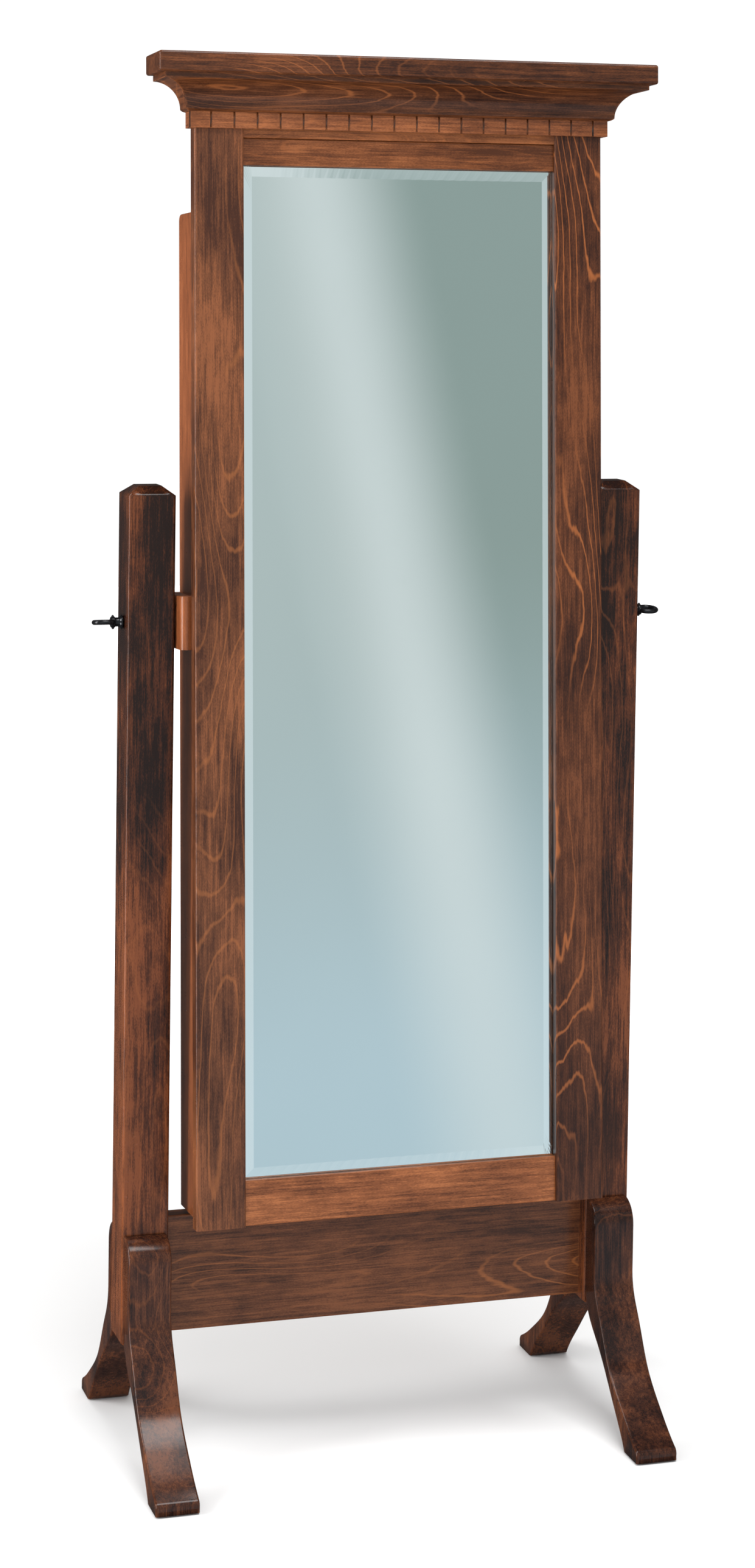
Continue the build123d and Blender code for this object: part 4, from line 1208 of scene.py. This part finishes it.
@dataclass
class Studio:
    """The pale floor, the soft lights, the card that the mirror reflects, and the camera."""
    eye: tuple[float, float, float] = (-1.1481, -3.6817, 1.5002)
    yaw_deg: float = 17.17
    pitch_deg: float = -2.98
    roll_deg: float = 0.8
    lens_mm: float = 71.77
    shift_up: float = -0.25
    card_y: float = -4.2
    card_left: float = 0.88
    card_wide: float = 0.84
    card_top: float = 2.10
    card_tall: float = 2.58
    lamps: tuple[Lamp, ...] = (
        Lamp("overhead", (0.2, -1.1, 3.4), (0.0, 0.2, 0.0), 1.8, 1.4, 74.0),
        Lamp("left_strip", (-2.6, -0.1, 1.2), (0.0, 0.0, 0.9), 0.6, 2.8, 84.0),
        Lamp("front_fill", (-1.6, -4.6, 2.6), (0.0, 0.0, 0.9), 2.0, 2.0, 34.0))

    def build(self) -> None:
        """Sets up the studio."""
        self.world()
        self.floor()
        self.card()
        for lamp in self.lamps:
            lamp.hang()
        self.camera()
        bpy.context.scene.view_settings.view_transform = "Standard"

    def world(self) -> None:
        """Makes an even white surround, nearly black where it is only reflected."""
        world = bpy.data.worlds.new("studio")
        bpy.context.scene.world = world
        world.use_nodes = True
        world.node_tree.nodes.clear()
        net = Net(world.node_tree)
        path = net.add("ShaderNodeLightPath")
        level = net.maths("MULTIPLY", path.outputs["Is Camera Ray"], 0.5)
        level = net.maths("ADD", level, 0.62)
        dim = net.maths("MULTIPLY", path.outputs["Is Glossy Ray"], 0.54)
        back = net.add("ShaderNodeBackground", {"Color": (1.0, 1.0, 1.0, 1.0),
                                                "Strength": net.maths("SUBTRACT", level, dim)})
        net.add("ShaderNodeOutputWorld", {"Surface": back.outputs[0]})

    def floor(self) -> None:
        """Makes the pale floor, which glows more the further it lies from the middle: painted light that
        whitens the far floor and leaves the shadow near the stand.
        """
        reach = 9.0
        corners = [Vector((x, y, 0.0)) for x, y in ((-reach, -reach), (reach, -reach), (reach, reach),
                                                    (-reach, reach))]
        material, net, shader = new_material("pale_floor")
        tint = net.noise(object_place(net), 1.5, 2.0)
        net.tree.links.new(net.mix(tint, (0.90, 0.90, 0.90), (0.93, 0.93, 0.93)), shader.inputs["Base Color"])
        distance = net.add("ShaderNodeVectorMath", {0: net.add("ShaderNodeTexCoord").outputs["Object"]},
                           operation="LENGTH").outputs["Value"]
        # painted light: the floor glows white from 0.75 m out from the middle
        painted_glow = net.smooth(distance, 0.75, 2.2, 0.0, 1.0)
        net.tree.links.new(net.mix(painted_glow, (0.0, 0.0, 0.0), (1.0, 1.0, 1.0)), shader.inputs["Emission Color"])
        shader.inputs["Emission Strength"].default_value = 1.0
        shader.inputs["Roughness"].default_value = 0.9
        shader.inputs["Specular IOR Level"].default_value = 0.1
        floor = link_piece("floor", mesh_of("floor", corners, [[0, 1, 2, 3]], False), material)
        floor.visible_glossy = False

    def card(self) -> None:
        """Makes the glowing card in front of the mirror, seen only in reflections: its gradient, lighter left
        part and diagonal band are the mirror's painted reflection.
        """
        material = bpy.data.materials.new("painted_reflection_card")
        material.use_nodes = True
        material.node_tree.nodes.clear()
        net = Net(material.node_tree)
        axes = net.add("ShaderNodeSeparateXYZ", {0: net.add("ShaderNodeTexCoord").outputs["Object"]})
        u = net.maths("DIVIDE", net.maths("SUBTRACT", axes.outputs[0], self.card_left), self.card_wide)
        v = net.maths("DIVIDE", net.maths("SUBTRACT", self.card_top, axes.outputs[2]), self.card_tall)
        # painted reflection: a green to blue gradient, a lighter left part and a glowing diagonal band, which
        # the mirror shows
        base = net.mix(net.smooth(v, 0.35, 0.95), (0.285, 0.360, 0.345), (0.47, 0.60, 0.67))
        centre = net.maths("ADD", net.maths("MULTIPLY", v, 0.60), 0.24)
        offset = net.maths("SUBTRACT", u, centre)
        left = net.smooth(offset, -0.02, -0.30)
        fade = net.smooth(v, 1.0, 0.3)
        lifted = net.mix(net.maths("MULTIPLY", left, net.maths("MULTIPLY", fade, 0.50)), base,
                         (0.64, 0.72, 0.74))
        band = net.smooth(net.maths("ABSOLUTE", offset), 0.36, 0.0)
        painted_glow = net.maths("MULTIPLY", band, net.smooth(v, 1.15, 0.55, 0.45, 0.78))
        inner = net.mix(painted_glow, lifted, (0.72, 0.78, 0.79))
        beyond = net.maths("MAXIMUM", net.smooth(u, -0.15, -0.5), net.smooth(u, 1.15, 1.5))
        beyond = net.maths("MAXIMUM", beyond, net.smooth(v, 1.08, 1.3))
        beyond = net.maths("MAXIMUM", beyond, net.smooth(v, -0.08, -0.3))
        paint = net.mix(net.maths("MULTIPLY", beyond, 0.45), inner, (0.80, 0.88, 0.92))
        shine = net.add("ShaderNodeEmission", {"Color": paint, "Strength": 1.0})
        net.add("ShaderNodeOutputMaterial", {"Surface": shine.outputs[0]})
        outline = ((-5.0, -2.5), (7.0, -2.5), (7.0, 5.0), (-5.0, 5.0))
        corners = [Vector((x, self.card_y, z)) for x, z in outline]
        card = link_piece("card", mesh_of("card", corners, [[0, 1, 2, 3]], False), material)
        card.visible_camera = False
        card.visible_diffuse = False
        card.visible_shadow = False

    def camera(self) -> None:
        """Sets up the camera, with its small downward shift."""
        yaw, pitch, roll = (math.radians(value) for value in (self.yaw_deg, self.pitch_deg, self.roll_deg))
        ahead = Vector((math.sin(yaw) * math.cos(pitch), math.cos(yaw) * math.cos(pitch), math.sin(pitch)))
        level = Vector((math.cos(yaw), -math.sin(yaw), 0.0))
        upward = level.cross(ahead)
        right = math.cos(roll) * level + math.sin(roll) * upward
        up = math.cos(roll) * upward - math.sin(roll) * level
        data = bpy.data.cameras.new("camera")
        data.sensor_fit = "VERTICAL"
        data.sensor_height = 36.0
        data.lens = self.lens_mm
        data.shift_y = self.shift_up
        eye = bpy.data.objects.new("camera", data)
        turn = Matrix((right, up, -ahead)).transposed()
        eye.matrix_world = Matrix.Translation(self.eye) @ turn.to_4x4()
        bpy.context.scene.collection.objects.link(eye)
        bpy.context.scene.camera = eye


def main() -> None:
    """Builds the pieces in order."""
    logging.basicConfig(level=logging.INFO, format="%(name)s: %(message)s")
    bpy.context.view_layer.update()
    for assembly in (Studio(), Stand(), TiltPivot(), Door(), Crown(), Cabinet(), DoorHinges()):
        LOG.info("building %s", type(assembly).__name__)
        assembly.build()


if __name__ == "__main__":
    main()
